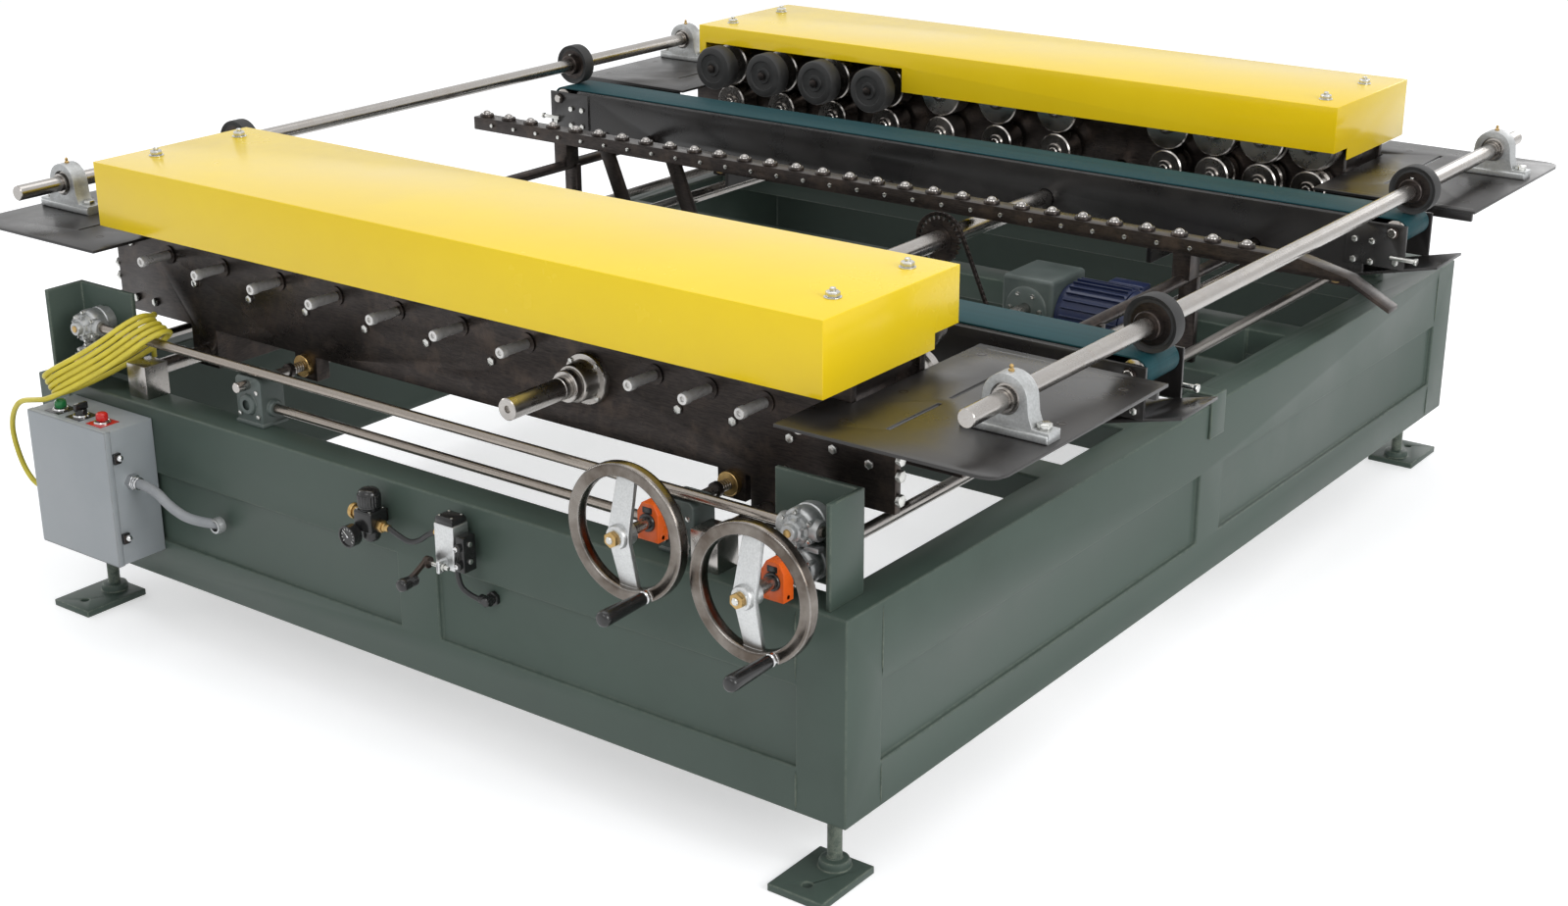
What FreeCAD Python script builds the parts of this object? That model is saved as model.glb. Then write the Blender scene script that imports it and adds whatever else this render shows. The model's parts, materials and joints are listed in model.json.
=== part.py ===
# Duct roll former: two mirrored forming heads that slide on a welded base.
# Millimetres. The origin is on the floor under the middle of the base.
# X is the feed direction, minus Y is the handwheel side, Z is up.
import FreeCAD, Part
import math
import os
import re
import Sketcher
from FreeCAD import Placement, Rotation, Vector

# Driving dimensions, one sheet cell each
SIZES = {
    # welded base
    "base_length": 2048, "base_width": 2540, "base_height": 372, "floor_gap": 137,
    "wall": 16, "recess": 10, "corner_post": 100, "mid_post": 100, "mid_post_offset": 66,
    "upper_band": 141, "lower_band": 84, "flange_width": 75, "flange_thick": 6,
    "beam_width": 80, "beam_height": 60, "screw_beam_y": 520, "middle_beam_y": 200, "far_beam_y": 1041,
    "shelf_start": 300, "shelf_end": 860, "shelf_drop": 92, "shelf_thick": 8,
    "gusset": 120, "gusset_thick": 12,
    # levelling feet
    "foot_inset": 72, "foot_column": 26, "foot_plate_length": 150, "foot_plate_width": 112,
    "foot_plate_thick": 14, "anchor_offset": 78, "anchor_hole": 18, "foot_nut": 44,
    "foot_nut_height": 20,
    "foot_collar": 56, "foot_collar_height": 14,
    # guide rails and carriages
    "rail_x": 724, "rail_z": 559, "rail_diameter": 32, "rail_inset": 20, "rail_block": 56,
    "carriage_width": 76, "carriage_bottom": 530, "running_fit": 0.05, "part_gap": 0.3,
    # forming heads, measured from the machine's middle
    "outer_plate_y": 1067, "inner_plate_y": 865, "plate_thick": 16, "plate_half_length": 980,
    "plate_bottom": 612, "plate_top": 838, "case_half_length": 885, "case_bottom": 734, "case_top": 905,
    "cover_half_length": 902, "cover_outer": 1167, "cover_inner": 772, "cover_bottom": 818,
    "cover_top": 950, "cover_sheet": 3, "cover_step_width": 76, "cover_step_height": 28,
    "window_start": 880, "window_end": 254, "window_top": 905,
    # roll stations
    "first_station": -810, "entry_pitch": 165.5, "second_group": 480, "exit_pitch": 119.4,
    "pass_line": 795, "roll_shaft": 22, "roll_tip_y": 1148, "lower_roll": 86, "upper_roll": 112,
    "roll_width": 62, "roll_nip": 1.2, "roll_groove": 5, "roll_rib": 14, "roll_stub": 8,
    "pinch_wheel": 113, "pinch_width": 48, "pinch_y": 732,
    # drive
    "drive_hole": 46, "drive_x": 328, "drive_z": 716, "drive_shaft": 42, "drive_near_end": 1285,
    "drive_far_end": 1130, "shaft_end_diameter": 40, "shaft_end_length": 130,
    "bearing_outer": 70, "bearing_flange": 96, "bearing_length": 46, "collar_length": 18,
    "sprocket_y": 60, "large_sprocket": 104, "small_sprocket": 74, "chain_width": 12, "chain_thick": 9,
    "reducer_x": 430, "reducer_y": 334, "reducer_z": 530, "reducer_width": 130, "reducer_depth": 150,
    "reducer_height": 176, "output_shaft": 30, "motor_diameter": 168, "motor_length": 205,
    "motor_drop": 16,
    # tables
    "table_start": 850, "table_end": 1260, "table_outer": 1228, "table_inner": 690, "table_thick": 6,
    "table_slot": 8, "table_slot_length": 150,
    # belt conveyors
    "belt_y": 566, "belt_width": 114, "belt_thick": 4, "roller_x": 1160, "belt_roller": 47,
    "bed_plate": 5, "bed_bottom": 665, "bed_top": 789, "bed_half_length": 1100, "arm_x": 600,
    "arm_thick": 12, "arm_height": 56, "take_up_length": 130, "nose_length": 70, "roller_shaft": 20,
    # hold-down shafts
    "hold_x": 1168, "hold_z": 846, "hold_shaft": 32, "hold_half_length": 1170, "pillow_y": 1041,
    "pillow_length": 160, "pillow_width": 42, "pillow_foot": 18, "pillow_ring": 78,
    "hold_wheel_width": 36, "hold_wheel_y": 574, "hold_hub": 52, "hold_hub_width": 58,
    # ball rail
    "ball_rail_start": -1143, "ball_rail_end": 857, "ball_rail_width": 44, "ball_rail_height": 32,
    "ball_pitch": 75, "first_ball": -1118, "ball_diameter": 25, "ball_cup": 36, "ball_cup_height": 7,
    "extension_length": 350, "ramp_length": 90, "ramp_drop": 46, "ball_rail_y": 178,
    "ball_rail_top": 780,
    "cross_bar": 25, "cross_bar_x": 851, "cross_bar_half": 800, "cross_bar_z": 692, "bar_hole": 30,
    "post_width": 40,
    "post_thick": 16, "brace_width": 40, "brace_thick": 12, "brace_lean": 110, "brace_first": -640,
    "brace_second": -430,
    # head screws, cross shafts and gearboxes
    "near_screw_right_x": 645, "near_screw_left_x": -419, "near_screw_z": 592, "near_screw": 20,
    "far_screw_x": 899, "far_screw_z": 554, "far_screw": 22, "near_screw_end": 500,
    "screw_block_width": 60, "screw_block_length": 40, "screw_block_top": 30,
    "lower_shaft_inset": 76, "lower_shaft_z": 544, "upper_shaft_inset": 51, "upper_shaft_z": 622,
    "cross_shaft": 19, "near_box_width": 72, "near_box_length": 58, "near_box_top": 608,
    "casting": 66, "casting_inset": 18, "casting_length": 76, "casting_hub": 36,
    "bracket_thick": 9, "bracket_width": 170, "bracket_height": 182, "bracket_depth": 92,
    "nut_flange": 44, "nut_body": 32, "nut_flange_thick": 12, "nut_length": 46, "nut_bracket": 60,
    # handwheels
    "wheel_stand": 77, "wheel_diameter": 240, "rim_width": 24, "spoke_width": 44, "spoke_thick": 10,
    "dish": 26, "wheel_hub": 42, "wheel_hub_length": 34, "grip_diameter": 28, "grip_length": 104,
    "grip_pin": 10, "grip_turn": 65, "indicator_width": 44, "indicator_height": 66,
    "indicator_thick": 26,
    "indicator_stand": 14,
    # control box
    "box_left": -907, "box_width": 244, "box_depth": 112, "box_bottom": 203, "box_height": 282,
    "box_wall": 4, "door_thick": 3, "door_rim": 18, "button_diameter": 24, "button_height": 16,
    "button_stem": 12, "button_travel": 5, "button_pitch": 66, "button_row_stand": 75,
    "clamp_height": 22, "clamp_width": 16, "button_fit": 0.4, "conduit": 20, "conduit_x": -475,
    "conduit_z": 305, "fitting": 34, "fitting_z": 371,
    # air parts on the front panel
    "regulator_x": -9, "regulator_z": 441, "regulator_body": 44, "regulator_height": 42, "bowl": 34,
    "bowl_height": 22, "regulator_neck": 4, "knob": 44, "knob_height": 34, "gauge": 42,
    "gauge_thick": 22, "panel_standoff": 12,
    "valve_x": 195, "valve_z": 442, "valve_width": 46, "valve_height": 84, "valve_depth": 40,
    "lever_length": 58, "lever_thick": 12, "lever_pin": 8, "hose": 10, "bulkhead_x": 252,
    "bulkhead_z": 338,
    # hanging cord
    "cord": 11, "cord_sides": 8, "hank_loops": 5, "hank_depth": 81,
    "plug_diameter": 30, "plug_length": 52, "gland": 24, "gland_length": 22, "gland_z": 285,
    "gland_stand": 64,
    "stop_bracket_width": 60,
}

# Places at the front that follow the base's width
FRONT = {
    "rail_length": "(base_width - 2 * rail_inset)",
    "lower_shaft_y": "(base_width / 2 - lower_shaft_inset)",
    "upper_shaft_y": "(base_width / 2 - upper_shaft_inset)",
    "casting_front": "(base_width / 2 - casting_inset)",
    "casting_back": "(base_width / 2 - casting_inset - casting_length)",
    "wheel_y": "(base_width / 2 + wheel_stand)",
    "indicator_y": "(base_width / 2 + indicator_stand)",
    "button_row_y": "(base_width / 2 + button_row_stand)",
    "gland_y": "(base_width / 2 + gland_stand)",
}

EDGE_CHECK = 1.0e-7
doc = FreeCAD.newDocument("duct_roll_former")
sheet = doc.addObject("Spreadsheet::Sheet", "Sizes")
for row, (alias, size) in enumerate(SIZES.items(), start=1):
    sheet.set("A%d" % row, alias.replace("_", " "))
    sheet.set("B%d" % row, str(size))
    sheet.setAlias("B%d" % row, alias)
doc.recompute()


def size(alias):
    """One driving dimension, read from the sheet."""
    return number(FRONT[alias]) if alias in FRONT else float(sheet.get(alias))


def bound(text):
    """An expression over the sheet's cells, from one over plain aliases."""
    text = re.sub(r"[a-z_]+", lambda word: FRONT.get(word[0], word[0]), str(text))
    unknown = [word for word in re.findall(r"[a-z_]+", str(text)) if word not in SIZES]
    if unknown:
        raise KeyError(unknown)
    return re.sub(r"[a-z_]+", lambda word: "Sizes." + word[0], str(text))


def bind(item, sizes):
    for name, text in sizes.items():
        item.setExpression(name, bound(text))
    return item


def put(item, x, y, z):
    """Ties the three coordinates of an object's place to the sheet."""
    return bind(item, {"Placement.Base.x": x, "Placement.Base.y": y, "Placement.Base.z": z})


def block(name, lengths, centre):
    """A box by its three lengths, its middle in X and Y, and its underside."""
    item = doc.addObject("Part::Box", name)
    bind(item, {"Length": lengths[0], "Width": lengths[1], "Height": lengths[2]})
    return put(item, "%s - (%s) / 2" % (centre[0], lengths[0]),
               "%s - (%s) / 2" % (centre[1], lengths[1]), centre[2])


TURNS = {"X": Rotation(Vector(0, 1, 0), 90), "Y": Rotation(Vector(1, 0, 0), -90), "Z": Rotation()}


def rod(name, axis, diameter, length, start):
    """A round bar from its start point along plus X, Y or Z."""
    item = doc.addObject("Part::Cylinder", name)
    item.Placement = Placement(Vector(), TURNS[axis])
    bind(item, {"Radius": "(%s) / 2" % diameter, "Height": length})
    return put(item, *start)


def hexagon(name, axis, across, length, start):
    """A hexagon bar, given by its width across corners."""
    item = doc.addObject("Part::Prism", name)
    item.Polygon = 6
    item.Placement = Placement(Vector(), TURNS[axis])
    bind(item, {"Circumradius": "(%s) / 2" % across, "Height": length})
    return put(item, *start)


def fuse(name, pieces):
    item = doc.addObject("Part::MultiFuse", name)
    item.Shapes = pieces
    item.Refine = True
    return item


def cut(name, base, tools):
    """The base less all the tools."""
    item = doc.addObject("Part::Cut", name)
    item.Base = base
    item.Tool = tools[0] if len(tools) == 1 else fuse(name + "_tools", tools)
    item.Refine = True
    return item


def group(name, pieces):
    """Separate solids that share one node."""
    item = doc.addObject("Part::Compound", name)
    item.Links = pieces
    return item


def profile(body, plane, points):
    """A closed outline in a body, every corner tied to the sheet by its two coordinates."""
    sketch = body.newObject("Sketcher::SketchObject", body.Name + "_profile")
    role = [f for f in body.Origin.OriginFeatures if f.Role == plane][0]
    sketch.AttachmentSupport = [(role, "")]
    sketch.MapMode = "FlatFace"
    places = [tuple(float(number(text)) for text in point) for point in points]
    count = len(points)
    for index in range(count):
        first = Vector(places[index][0], places[index][1], 0)
        last = Vector(places[(index + 1) % count][0], places[(index + 1) % count][1], 0)
        sketch.addGeometry(Part.LineSegment(first, last), False)
    for index in range(count):
        sketch.addConstraint(Sketcher.Constraint("Coincident", index, 2, (index + 1) % count, 1))
    for index, point in enumerate(points):
        for kind, text, value in zip(("DistanceX", "DistanceY"), point, places[index]):
            place = sketch.addConstraint(Sketcher.Constraint(kind, -1, 1, index, 1, value))
            if not re.fullmatch(r"-?[0-9.]+", str(text)):
                sketch.setExpression("Constraints[%d]" % place, bound(text))
    return sketch


def number(text):
    """The value of an expression over the aliases, for a sketch's first drawing."""
    probe.setExpression("Length", bound("1000000 + (%s)" % text))
    probe.recompute()
    return round(probe.Length.Value - 1000000, 6)


probe = doc.addObject("Part::Box", "probe")


def padded(name, plane, points, length, shift):
    """A plate: an outline padded to both sides of its plane, moved by a shift."""
    body = doc.addObject("PartDesign::Body", name)
    sketch = profile(body, plane, points)
    pad = body.newObject("PartDesign::Pad", name + "_pad")
    pad.Profile = sketch
    pad.Midplane = True
    pad.setExpression("Length", bound(length))
    sketch.Visibility = False
    return put(body, *shift)


def turned(name, axis, points, start):
    """A round piece: an outline of (radius, height) revolved about its height."""
    body = doc.addObject("PartDesign::Body", name)
    sketch = profile(body, "XY_Plane", points)
    spin = body.newObject("PartDesign::Revolution", name + "_turn")
    spin.Profile = sketch
    spin.ReferenceAxis = (sketch, ["V_Axis"])
    spin.Angle = 360
    sketch.Visibility = False
    stand = {"Y": Rotation(), "Z": Rotation(Vector(1, 0, 0), 90), "X": Rotation(Vector(0, 0, 1), -90)}
    body.Placement = Placement(Vector(), stand[axis])
    return put(body, *start)


# Places worked out from the sheet
BASE_TOP = "(floor_gap + base_height)"
HALF_X = "(base_length / 2)"
HALF_Y = "(base_width / 2)"
PANEL_BOTTOM = "(floor_gap + lower_band)"
PANEL_HEIGHT = "(base_height - upper_band - lower_band)"
CASE_MIDDLE = "((outer_plate_y + inner_plate_y) / 2)"
RUNNING = "2 * running_fit"
SIGNS = (1, -1)


# Welded base: an open box with recessed panels, a flange turned in, and beams across it
def base_frame():
    outer = block("base_outer", ("base_length", "base_width", "base_height"), ("0", "0", "floor_gap"))
    cavity = block("base_cavity", ("base_length - 2 * wall", "base_width - 2 * wall",
                                   "base_height - flange_thick"), ("0", "0", "floor_gap"))
    window = block("base_window", ("base_length - 2 * flange_width", "base_width - 2 * flange_width",
                                   "base_height * 2"), ("0", "0", "floor_gap"))
    tools = [cavity, window]
    for side in SIGNS:
        for half in SIGNS:
            length = "(base_width - 2 * corner_post - mid_post) / 2"
            tools.append(block("side_recess", ("2 * recess", length, PANEL_HEIGHT),
                               ("%d * %s" % (side, HALF_X), "%d * (mid_post + %s) / 2" % (half, length),
                                PANEL_BOTTOM)))
            reach = "(%s - corner_post - mid_post / 2 - %d * mid_post_offset)" % (HALF_X, half)
            middle = "mid_post_offset + %d * (mid_post + %s) / 2" % (half, reach)
            tools.append(block("front_recess", (reach, "2 * recess", PANEL_HEIGHT),
                               (middle, "%d * %s" % (side, HALF_Y), PANEL_BOTTOM)))
    shell = cut("base_shell", outer, tools)
    pieces = [shell]
    beam_length = "base_length - 2 * wall"
    beam_floor = "%s - beam_height" % BASE_TOP
    for name, place in (("near_screw_beam", "-screw_beam_y"), ("near_middle_beam", "-middle_beam_y"),
                        ("far_middle_beam", "middle_beam_y"), ("motor_beam", "screw_beam_y"),
                        ("far_screw_beam", "far_beam_y")):
        pieces.append(block(name, (beam_length, "beam_width", "beam_height"), ("0", place, beam_floor)))
    pieces.append(block("motor_shelf", ("shelf_end - shelf_start", "screw_beam_y - middle_beam_y",
                                        "shelf_thick"),
                        ("(shelf_start + shelf_end) / 2", "(screw_beam_y + middle_beam_y) / 2",
                         "%s - shelf_drop" % BASE_TOP)))
    for y_sign in SIGNS:
        hanger = block("shelf_hanger", ("shelf_end - shelf_start", "shelf_thick", "shelf_drop"),
                       ("(shelf_start + shelf_end) / 2",
                        "(screw_beam_y + middle_beam_y) / 2 + %d * (screw_beam_y - middle_beam_y"
                        " - beam_width - shelf_thick) / 2" % y_sign, "%s - shelf_drop" % BASE_TOP))
        pieces.append(hanger)
        for x_sign in SIGNS:
            pieces.append(block("foot_gusset", ("gusset", "gusset", "gusset_thick"),
                                ("%d * (%s - wall - gusset / 2)" % (x_sign, HALF_X),
                                 "%d * (%s - wall - gusset / 2)" % (y_sign, HALF_Y), "floor_gap")))
    return fuse("base_frame", pieces)


# Levelling feet: a screw column with lock nut, welded on a floor plate with an anchor hole
def levelling_feet():
    feet = []
    for x_sign in SIGNS:
        for y_sign in SIGNS:
            x = "%d * (%s - foot_inset)" % (x_sign, HALF_X)
            y = "%d * (%s - foot_inset)" % (y_sign, HALF_Y)
            plate_y = "%s + %d * anchor_offset / 2" % (y, y_sign)
            anchor_y = "%s + %d * anchor_offset" % (y, y_sign)
            plate = block("foot_plate", ("foot_plate_width", "foot_plate_length", "foot_plate_thick"),
                          (x, plate_y, "0"))
            hole = rod("anchor_hole_cut", "Z", "anchor_hole", "foot_plate_thick * 3",
                       (x, anchor_y, "-foot_plate_thick"))
            drilled = cut("foot_plate_drilled", plate, [hole])
            column = rod("foot_screw", "Z", "foot_column", "floor_gap - foot_plate_thick",
                         (x, y, "foot_plate_thick"))
            collar = rod("foot_swivel", "Z", "foot_collar", "foot_collar_height",
                         (x, y, "foot_plate_thick"))
            nut = hexagon("foot_lock_nut", "Z", "foot_nut", "foot_nut_height",
                          (x, y, "floor_gap - foot_nut_height"))
            feet.append(fuse("foot", [drilled, column, collar, nut]))
    return group("levelling_feet", feet)


# Guide rails with an end block at each end
def guide_rails():
    rails = []
    for x_sign in SIGNS:
        x = "%d * rail_x" % x_sign
        bar = rod("rail_bar", "Y", "rail_diameter", "rail_length", (x, "-rail_length / 2", "rail_z"))
        ends = [block("rail_end",
                      ("rail_block", "rail_block", "rail_z - %s + rail_diameter / 2 + 3" % BASE_TOP),
                      (x, "%d * (rail_length - rail_block) / 2" % sign, BASE_TOP)) for sign in SIGNS]
        rails.append(fuse("rail", [bar] + ends))
    return group("guide_rails", rails)


# Head: two side plates tied by carriages that run on the rails
def head_frame(side, word):
    pieces = []
    step = "pass_line - 8 - table_thick"
    outline = [("-plate_half_length", "plate_bottom"), ("plate_half_length", "plate_bottom"),
               ("plate_half_length", step), ("case_half_length + 6", step),
               ("case_half_length + 6", "plate_top"), ("-case_half_length - 6", "plate_top"),
               ("-case_half_length - 6", step), ("-plate_half_length", step)]
    for edge in ("outer_plate_y", "inner_plate_y"):
        y = "%d * %s" % (side, edge)
        plate = padded("%s_%s" % (word, edge), "XZ_Plane", outline, "plate_thick", ("0", y, "0"))
        holes = [rod("drive_way", "Y", "drive_hole", "4 * plate_thick",
                     ("drive_x", "%s - 2 * plate_thick" % y, "drive_z"))]
        if edge == "inner_plate_y":
            for sign in SIGNS:
                holes.append(rod("bar_way", "Y", "bar_hole", "4 * plate_thick",
                                 ("%d * cross_bar_x" % sign, "%s - 2 * plate_thick" % y,
                                  "cross_bar_z")))
        pieces.append(cut("%s_%s_drilled" % (word, edge), plate, holes))
    across = "outer_plate_y - inner_plate_y + plate_thick"
    middle = "%d * %s" % (side, CASE_MIDDLE)
    for sign in SIGNS:
        x = "%d * rail_x" % sign
        body = block("carriage", ("carriage_width", across, "plate_bottom - carriage_bottom"),
                     (x, middle, "carriage_bottom"))
        bore = rod("carriage_bore", "Y", "rail_diameter + %s" % RUNNING, "2 * (%s)" % across,
                   (x, "%s - (%s)" % (middle, across), "rail_z"))
        pieces.append(cut("carriage_bored", body, [bore]))
    if side < 0:
        screws = [("near_screw_right_x", "near_screw_z"), ("near_screw_left_x", "near_screw_z")]
    else:
        screws = [("far_screw_x", "far_screw_z"), ("-far_screw_x", "far_screw_z")]
    nut_y = screw_nut_y(side)
    for x, z in screws:
        drop = "plate_bottom - %s + nut_bracket / 2" % z
        lug = block("nut_lug", ("nut_bracket", "nut_length - nut_flange_thick", drop),
                    (x, "%s + (nut_length + nut_flange_thick) / 2 - nut_flange_thick" % nut_y,
                     "%s - nut_bracket / 2" % z))
        bore = rod("nut_seat", "Y", "nut_body + %s" % RUNNING, "3 * nut_length",
                   (x, "%s - nut_length" % nut_y, z))
        pieces.append(cut("nut_lug_bored", lug, [bore]))
    return fuse("%s_head_frame" % word, pieces)


def screw_nut_y(side):
    """Where the front face of a head's nut flange stands off, from the plate that carries it."""
    plate = "-outer_plate_y" if side < 0 else "inner_plate_y"
    return "(%s - plate_thick / 2)" % plate


# Bronze nuts in the lugs under the plate, flange against the lug's front
def screw_nuts(side, word):
    nuts = []
    if side < 0:
        screws = [("near_screw_right_x", "near_screw_z", "near_screw"),
                  ("near_screw_left_x", "near_screw_z", "near_screw")]
    else:
        screws = [("far_screw_x", "far_screw_z", "far_screw"),
                  ("-far_screw_x", "far_screw_z", "far_screw")]
    for x, z, screw in screws:
        start = "%s - nut_flange_thick" % screw_nut_y(side)
        flange = rod("nut_flange_disc", "Y", "nut_flange", "nut_flange_thick", (x, start, z))
        body = rod("nut_sleeve", "Y", "nut_body", "nut_length", (x, start, z))
        bore = rod("nut_thread", "Y", "%s + %s" % (screw, RUNNING), "3 * nut_length",
                   (x, "%s - nut_length" % start, z))
        nuts.append(cut("nut", fuse("nut_blank", [flange, body]), [bore]))
    return nuts


# Closed gear case between and over the side plates
def gear_case(side, word):
    middle = "%d * %s" % (side, CASE_MIDDLE)
    inside = "outer_plate_y - inner_plate_y - plate_thick"
    across = "outer_plate_y - inner_plate_y + plate_thick"
    lower = block("case_lower", ("2 * case_half_length", inside, "plate_top - case_bottom"),
                  ("0", middle, "case_bottom"))
    upper = block("case_upper", ("2 * case_half_length", across, "case_top - plate_top"),
                  ("0", middle, "plate_top"))
    way = rod("case_drive_way", "Y", "drive_hole", "2 * (%s)" % across,
              ("drive_x", "%s - (%s)" % (middle, across), "drive_z"))
    return cut("%s_gear_case" % word, fuse("case_blank", [lower, upper]), [way])


# Yellow cover: a sheet box open below, its end faces stepped, its inner face cut away over the wheels
def cover(side, word):
    middle = "%d * (cover_outer + cover_inner) / 2" % side
    width = "cover_outer - cover_inner"
    height = "cover_top - cover_bottom"
    outer = block("cover_outside", ("2 * cover_half_length", width, height),
                  ("0", middle, "cover_bottom"))
    inner = block("cover_inside",
                  ("2 * cover_half_length - 2 * cover_sheet", "%s - 2 * cover_sheet" % width,
                                   height), ("0", middle, "cover_bottom - cover_sheet"))
    step = block("cover_step", ("3 * cover_half_length", "cover_step_width", "2 * cover_step_height"),
                 ("0", "%d * (cover_inner + cover_step_width / 2 - cover_sheet)" % side,
                  "cover_bottom - cover_step_height"))
    window = block("cover_window", ("window_start - window_end", "4 * cover_sheet",
                                    "window_top - cover_bottom + 1"),
                   ("-(window_start + window_end) / 2", "%d * cover_inner" % side, "cover_bottom - 1"))
    shell = cut("%s_cover_shell" % word, outer, [inner, step, window])
    nuts = []
    stands = []
    for x_sign in SIGNS:
        x = "%d * (cover_half_length - 60)" % x_sign
        for reach in ("cover_inner + 70", "cover_outer - 110"):
            nuts.append(hexagon("cover_stud_nut", "Z", "26", "18",
                                (x, "%d * (%s)" % (side, reach), "cover_top")))
        stands.append(hexagon("cover_stand", "Z", "30", "cover_top - cover_sheet / 2 - case_top",
                              (x, "%d * (cover_outer - 110)" % side, "case_top")))
    return group("%s_cover" % word, [fuse("cover_on_stands", [shell] + stands)] + nuts)


# Roll stations: seven at the entry pitch, then four closer together after the drive shaft
ENTRY_STATIONS = 7
EXIT_STATIONS = 4
PINCH_STATIONS = 4
TIP_SIDES = 8


def stations():
    places = ["first_station + %d * entry_pitch" % index for index in range(ENTRY_STATIONS)]
    return places + ["second_group + %d * exit_pitch" % index for index in range(EXIT_STATIONS)]


LOWER_Z = "(pass_line - lower_roll / 2)"
UPPER_Z = "(pass_line + upper_roll / 2 + roll_nip)"


def roll(name, place, axis_z, diameter, crown, side, pinch):
    """A forming roll on its stub, ribbed or grooved at mid width, and a rubber wheel beyond it."""
    near = "part_gap + roll_stub"
    far = "%s + roll_width" % near
    radius = "(%s) / 2" % diameter
    shaft = "roll_shaft / 2"
    points = [("0", "0"), (shaft, "0"), (shaft, near), (radius, near)]
    if crown != "0":
        middle = "%s + roll_width / 2" % near
        points += [(radius, "%s - roll_rib / 2" % middle),
                   ("%s + %s" % (radius, crown), "%s - roll_rib / 2" % middle),
                   ("%s + %s" % (radius, crown), "%s + roll_rib / 2" % middle),
                   (radius, "%s + roll_rib / 2" % middle)]
    points.append((radius, far))
    if pinch:
        wheel = "inner_plate_y - plate_thick / 2 - pinch_y"
        points += [(shaft, far), (shaft, "%s - pinch_width / 2" % wheel),
                   ("pinch_wheel / 2", "%s - pinch_width / 2" % wheel),
                   ("pinch_wheel / 2", "%s + pinch_width / 2" % wheel),
                   ("0", "%s + pinch_width / 2" % wheel)]
    else:
        points.append(("0", far))
    y = "-(inner_plate_y - plate_thick / 2)"
    if side > 0:
        points = [(u, "-(%s)" % v) for u, v in points]
        y = "inner_plate_y - plate_thick / 2"
    return turned(name, "Y", points, (place, y, axis_z))


# Rolls of one head: lower and upper rolls, and the shafts' outer tips
def rolls(side, word):
    pieces = []
    for index, place in enumerate(stations()):
        depth = max(0, index - ENTRY_STATIONS + 1)
        share = "(%d / %d)" % (depth, EXIT_STATIONS)
        groove = "-roll_groove * %s" % share if depth else "0"
        rib = "roll_groove * %s - roll_nip" % share if depth else "0"
        pieces.append(roll("%s_lower_roll" % word, place, LOWER_Z, "lower_roll", groove, side, False))
        pieces.append(roll("%s_upper_roll" % word, place, UPPER_Z, "upper_roll - 2", rib, side,
                           index < PINCH_STATIONS))
        face = "outer_plate_y + plate_thick / 2"
        tip = doc.addObject("Part::Prism", "%s_shaft_tip" % word)
        tip.Polygon = TIP_SIDES
        tip.Placement = Placement(Vector(), TURNS["Y"])
        bind(tip, {"Circumradius": "roll_shaft / 2", "Height": "roll_tip_y - (%s)" % face})
        pieces.append(put(tip, place, "-roll_tip_y" if side < 0 else face, LOWER_Z))
    return group("%s_rolls" % word, pieces)


# Slotted plates at both ends of a head
def tables(side, word):
    plates = []
    floor = "pass_line - 8 - table_thick"
    for x_sign in SIGNS:
        def flip(x, y):
            return ("%d * (%s)" % (x_sign, x), "%d * (%s)" % (side, y))
        chamfer = "30"
        outline = [flip("table_start", "table_outer"), flip("table_end - %s" % chamfer, "table_outer"),
                   flip("table_end", "table_outer - %s" % chamfer), flip("table_end", "table_inner"),
                   flip("case_half_length + 10", "table_inner"),
                   flip("case_half_length + 10", "outer_plate_y + plate_thick / 2 + 2"),
                   flip("table_start", "outer_plate_y + plate_thick / 2 + 2")]
        plate = padded("%s_table_plate" % word, "XY_Plane", outline, "table_thick",
                       ("0", "0", "%s + table_thick / 2" % floor))
        slots = [block("table_slot_cut", ("table_slot", "table_slot_length", "4 * table_thick"),
                       ("%d * (table_start + 160)" % x_sign, "%d * (%s)" % (side, reach),
                        "%s - table_thick" % floor))
                 for reach in ("table_outer - 160", "table_outer - 340")]
        plates.append(cut("%s_table" % word, plate, slots))
    return group("%s_tables" % word, plates)


# Pillow blocks that stand on the tables and carry the hold-down shafts
def pillow_blocks(side, word):
    blocks = []
    seat = "(pass_line - 8)"
    for x_sign in SIGNS:
        x = "%d * hold_x" % x_sign
        y = "%d * pillow_y" % side
        top = "pillow_ring / 2"
        rise = "hold_z - %s" % seat
        outline = [("-pillow_length / 2", "-(%s)" % rise), ("pillow_length / 2", "-(%s)" % rise),
                   ("pillow_length / 2", "pillow_foot - (%s)" % rise),
                   ("pillow_ring / 2 + 8", "pillow_foot - (%s)" % rise), (top, "0"),
                   ("-pillow_ring / 2", "0"), ("-pillow_ring / 2 - 8", "pillow_foot - (%s)" % rise),
                   ("-pillow_length / 2", "pillow_foot - (%s)" % rise)]
        foot = padded("pillow_foot_plate", "XZ_Plane", outline, "pillow_width", (x, y, "hold_z"))
        ring = rod("pillow_round", "Y", "pillow_ring", "pillow_width",
                   (x, "%s - pillow_width / 2" % y, "hold_z"))
        bore = rod("pillow_bore", "Y", "hold_shaft + %s" % RUNNING, "3 * pillow_width",
                   (x, "%s - 1.5 * pillow_width" % y, "hold_z"))
        pieces = [cut("pillow_block", fuse("pillow_casting", [foot, ring]), [bore])]
        for bolt in SIGNS:
            pieces.append(hexagon("pillow_bolt", "Z", "24", "12",
                                  ("%s + %d * (pillow_length / 2 - 18)" % (x, bolt), y,
                                   "%s + pillow_foot" % seat)))
        blocks += pieces
    return blocks


# Belt conveyor of one head: bed with two side plates, arms back to the head, take-up ends and nose
ROLLER_Z = "(pass_line - belt_thick - belt_roller / 2)"


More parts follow.
